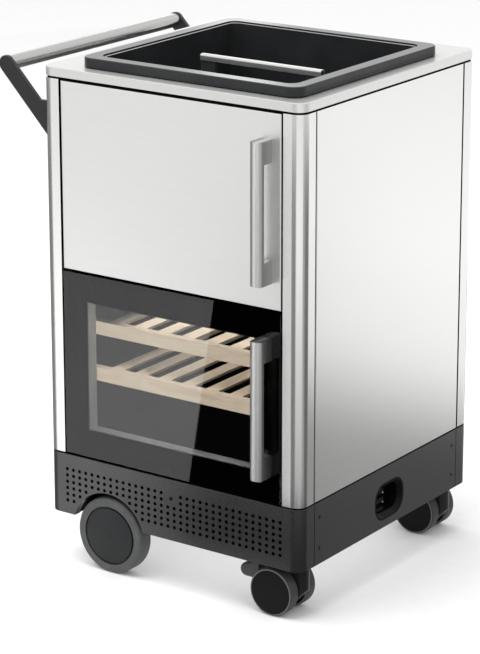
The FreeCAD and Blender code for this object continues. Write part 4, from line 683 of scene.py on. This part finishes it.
def floor():
    obj = quad("floor", [(x, y, 0) for x, y in rectangle(-FLOOR_HALF, FLOOR_HALF, -FLOOR_HALF, FLOOR_HALF)])
    material, tree, shader = new_material("floor_paper")
    tooth = noise(tree, FLOOR_TOOTH, detail=5)
    feed(tree, shader, Base_Color=blend(tree, tooth, (0.86, 0.86, 0.86), (0.88, 0.88, 0.88)))
    shader.inputs["Roughness"].default_value = 0.9
    paint(obj, material)


def surroundings(low, high):
    world = bpy.data.worlds.new("studio")
    scene.world = world
    world.use_nodes = True
    tree = world.node_tree
    coordinates = add(tree, "TexCoord")
    axes = add(tree, "SeparateXYZ", {"Vector": coordinates.outputs["Generated"]})
    feed(tree, tree.nodes["Background"], Color=blend(tree, axes.outputs["Z"], (low,) * 3, (high,) * 3))


def softbox(name, location, target, size, power, beam):
    """An area light for what scatters light; no steel or glass shows it."""
    data = bpy.data.lights.new(name, "AREA")
    data.shape = "RECTANGLE"
    data.size, data.size_y = size
    data.energy = power
    data.spread = math.radians(beam)
    obj = bpy.data.objects.new(name, data)
    obj.location = location
    obj.rotation_euler = (Vector(target) - Vector(location)).to_track_quat("-Z", "Y").to_euler()
    obj.visible_camera = False
    obj.visible_glossy = False
    obj.visible_transmission = False
    scene.collection.objects.link(obj)


def reflector(name, corners, near, far=None):
    """A studio card that only reflections show; its tone may run from its first edge to its third."""
    obj = quad(name, corners)
    material = bpy.data.materials.new(name)
    material.use_nodes = True
    tree = material.node_tree
    tree.nodes.clear()
    if far is None:
        glow = add(tree, "Emission", Color=(1, 1, 1, 1), Strength=near)
    else:
        ends = obj.data.attributes.new("run", "FLOAT", "POINT")
        ends.data.foreach_set("value", (0.0, 0.0, 1.0, 1.0))
        run = add(tree, "Attribute")
        run.attribute_name = "run"
        glow = add(tree, "Emission", {"Color": spread(tree, run.outputs["Fac"], near, far, 0, 1)})
    add(tree, "OutputMaterial", {"Surface": glow.outputs["Emission"]})
    paint(obj, material)
    obj.visible_camera = False
    obj.visible_diffuse = False
    obj.visible_shadow = False


def wedge(name, foot, headings, distances, lift, *tones):
    """A reflector on the floor: a sector that opens away from a foot point, between two headings in degrees."""
    inner, outer = [[(foot[0] + distance * math.cos(math.radians(heading)),
                      foot[1] + distance * math.sin(math.radians(heading)), lift) for heading in headings]
                    for distance in distances]
    reflector(name, [inner[0], inner[1], outer[1], outer[0]], *tones)


floor()
surroundings(SKY_LOW, SKY_HIGH)
for light, values in LIGHTS.items():
    softbox(light, *values)
for card, (corners, *tones) in FLOOR_CARDS.items():
    reflector(card, [(x, y, CARD_LIFT) for x, y in corners], *tones)
for card, (edges, y, tone) in BACK_CARDS.items():
    reflector(card, [(x, y, z) for x, z in edges], tone)
for fan, (foot, firsts, width, distances, lift, *tones) in FANS.items():
    for sector, first in enumerate(firsts):
        card = f"{fan}_{sector}" if len(firsts) > 1 else fan
        wedge(card, foot, (first, first + width), distances, lift, *tones)

# Camera at the photograph's angle

FRAME_HEIGHT, FOCAL_PIXELS, SENSOR = 654, 2687.1, 36
CAMERA_PLACE = (2.8678, -4.0439, 1.9787)
CAMERA_DIP, CAMERA_HEADING = 15.304, 34.903
CAMERA_SHIFT = (-0.015, -0.1424)

camera_data = bpy.data.cameras.new("camera")
camera_data.lens = SENSOR * FOCAL_PIXELS / FRAME_HEIGHT
camera_data.shift_x, camera_data.shift_y = CAMERA_SHIFT
camera = bpy.data.objects.new("camera", camera_data)
camera.location = CAMERA_PLACE
camera.rotation_euler = (math.radians(90 - CAMERA_DIP), 0, math.radians(CAMERA_HEADING))
scene.collection.objects.link(camera)
scene.camera = camera
scene.view_settings.view_transform = "Standard"
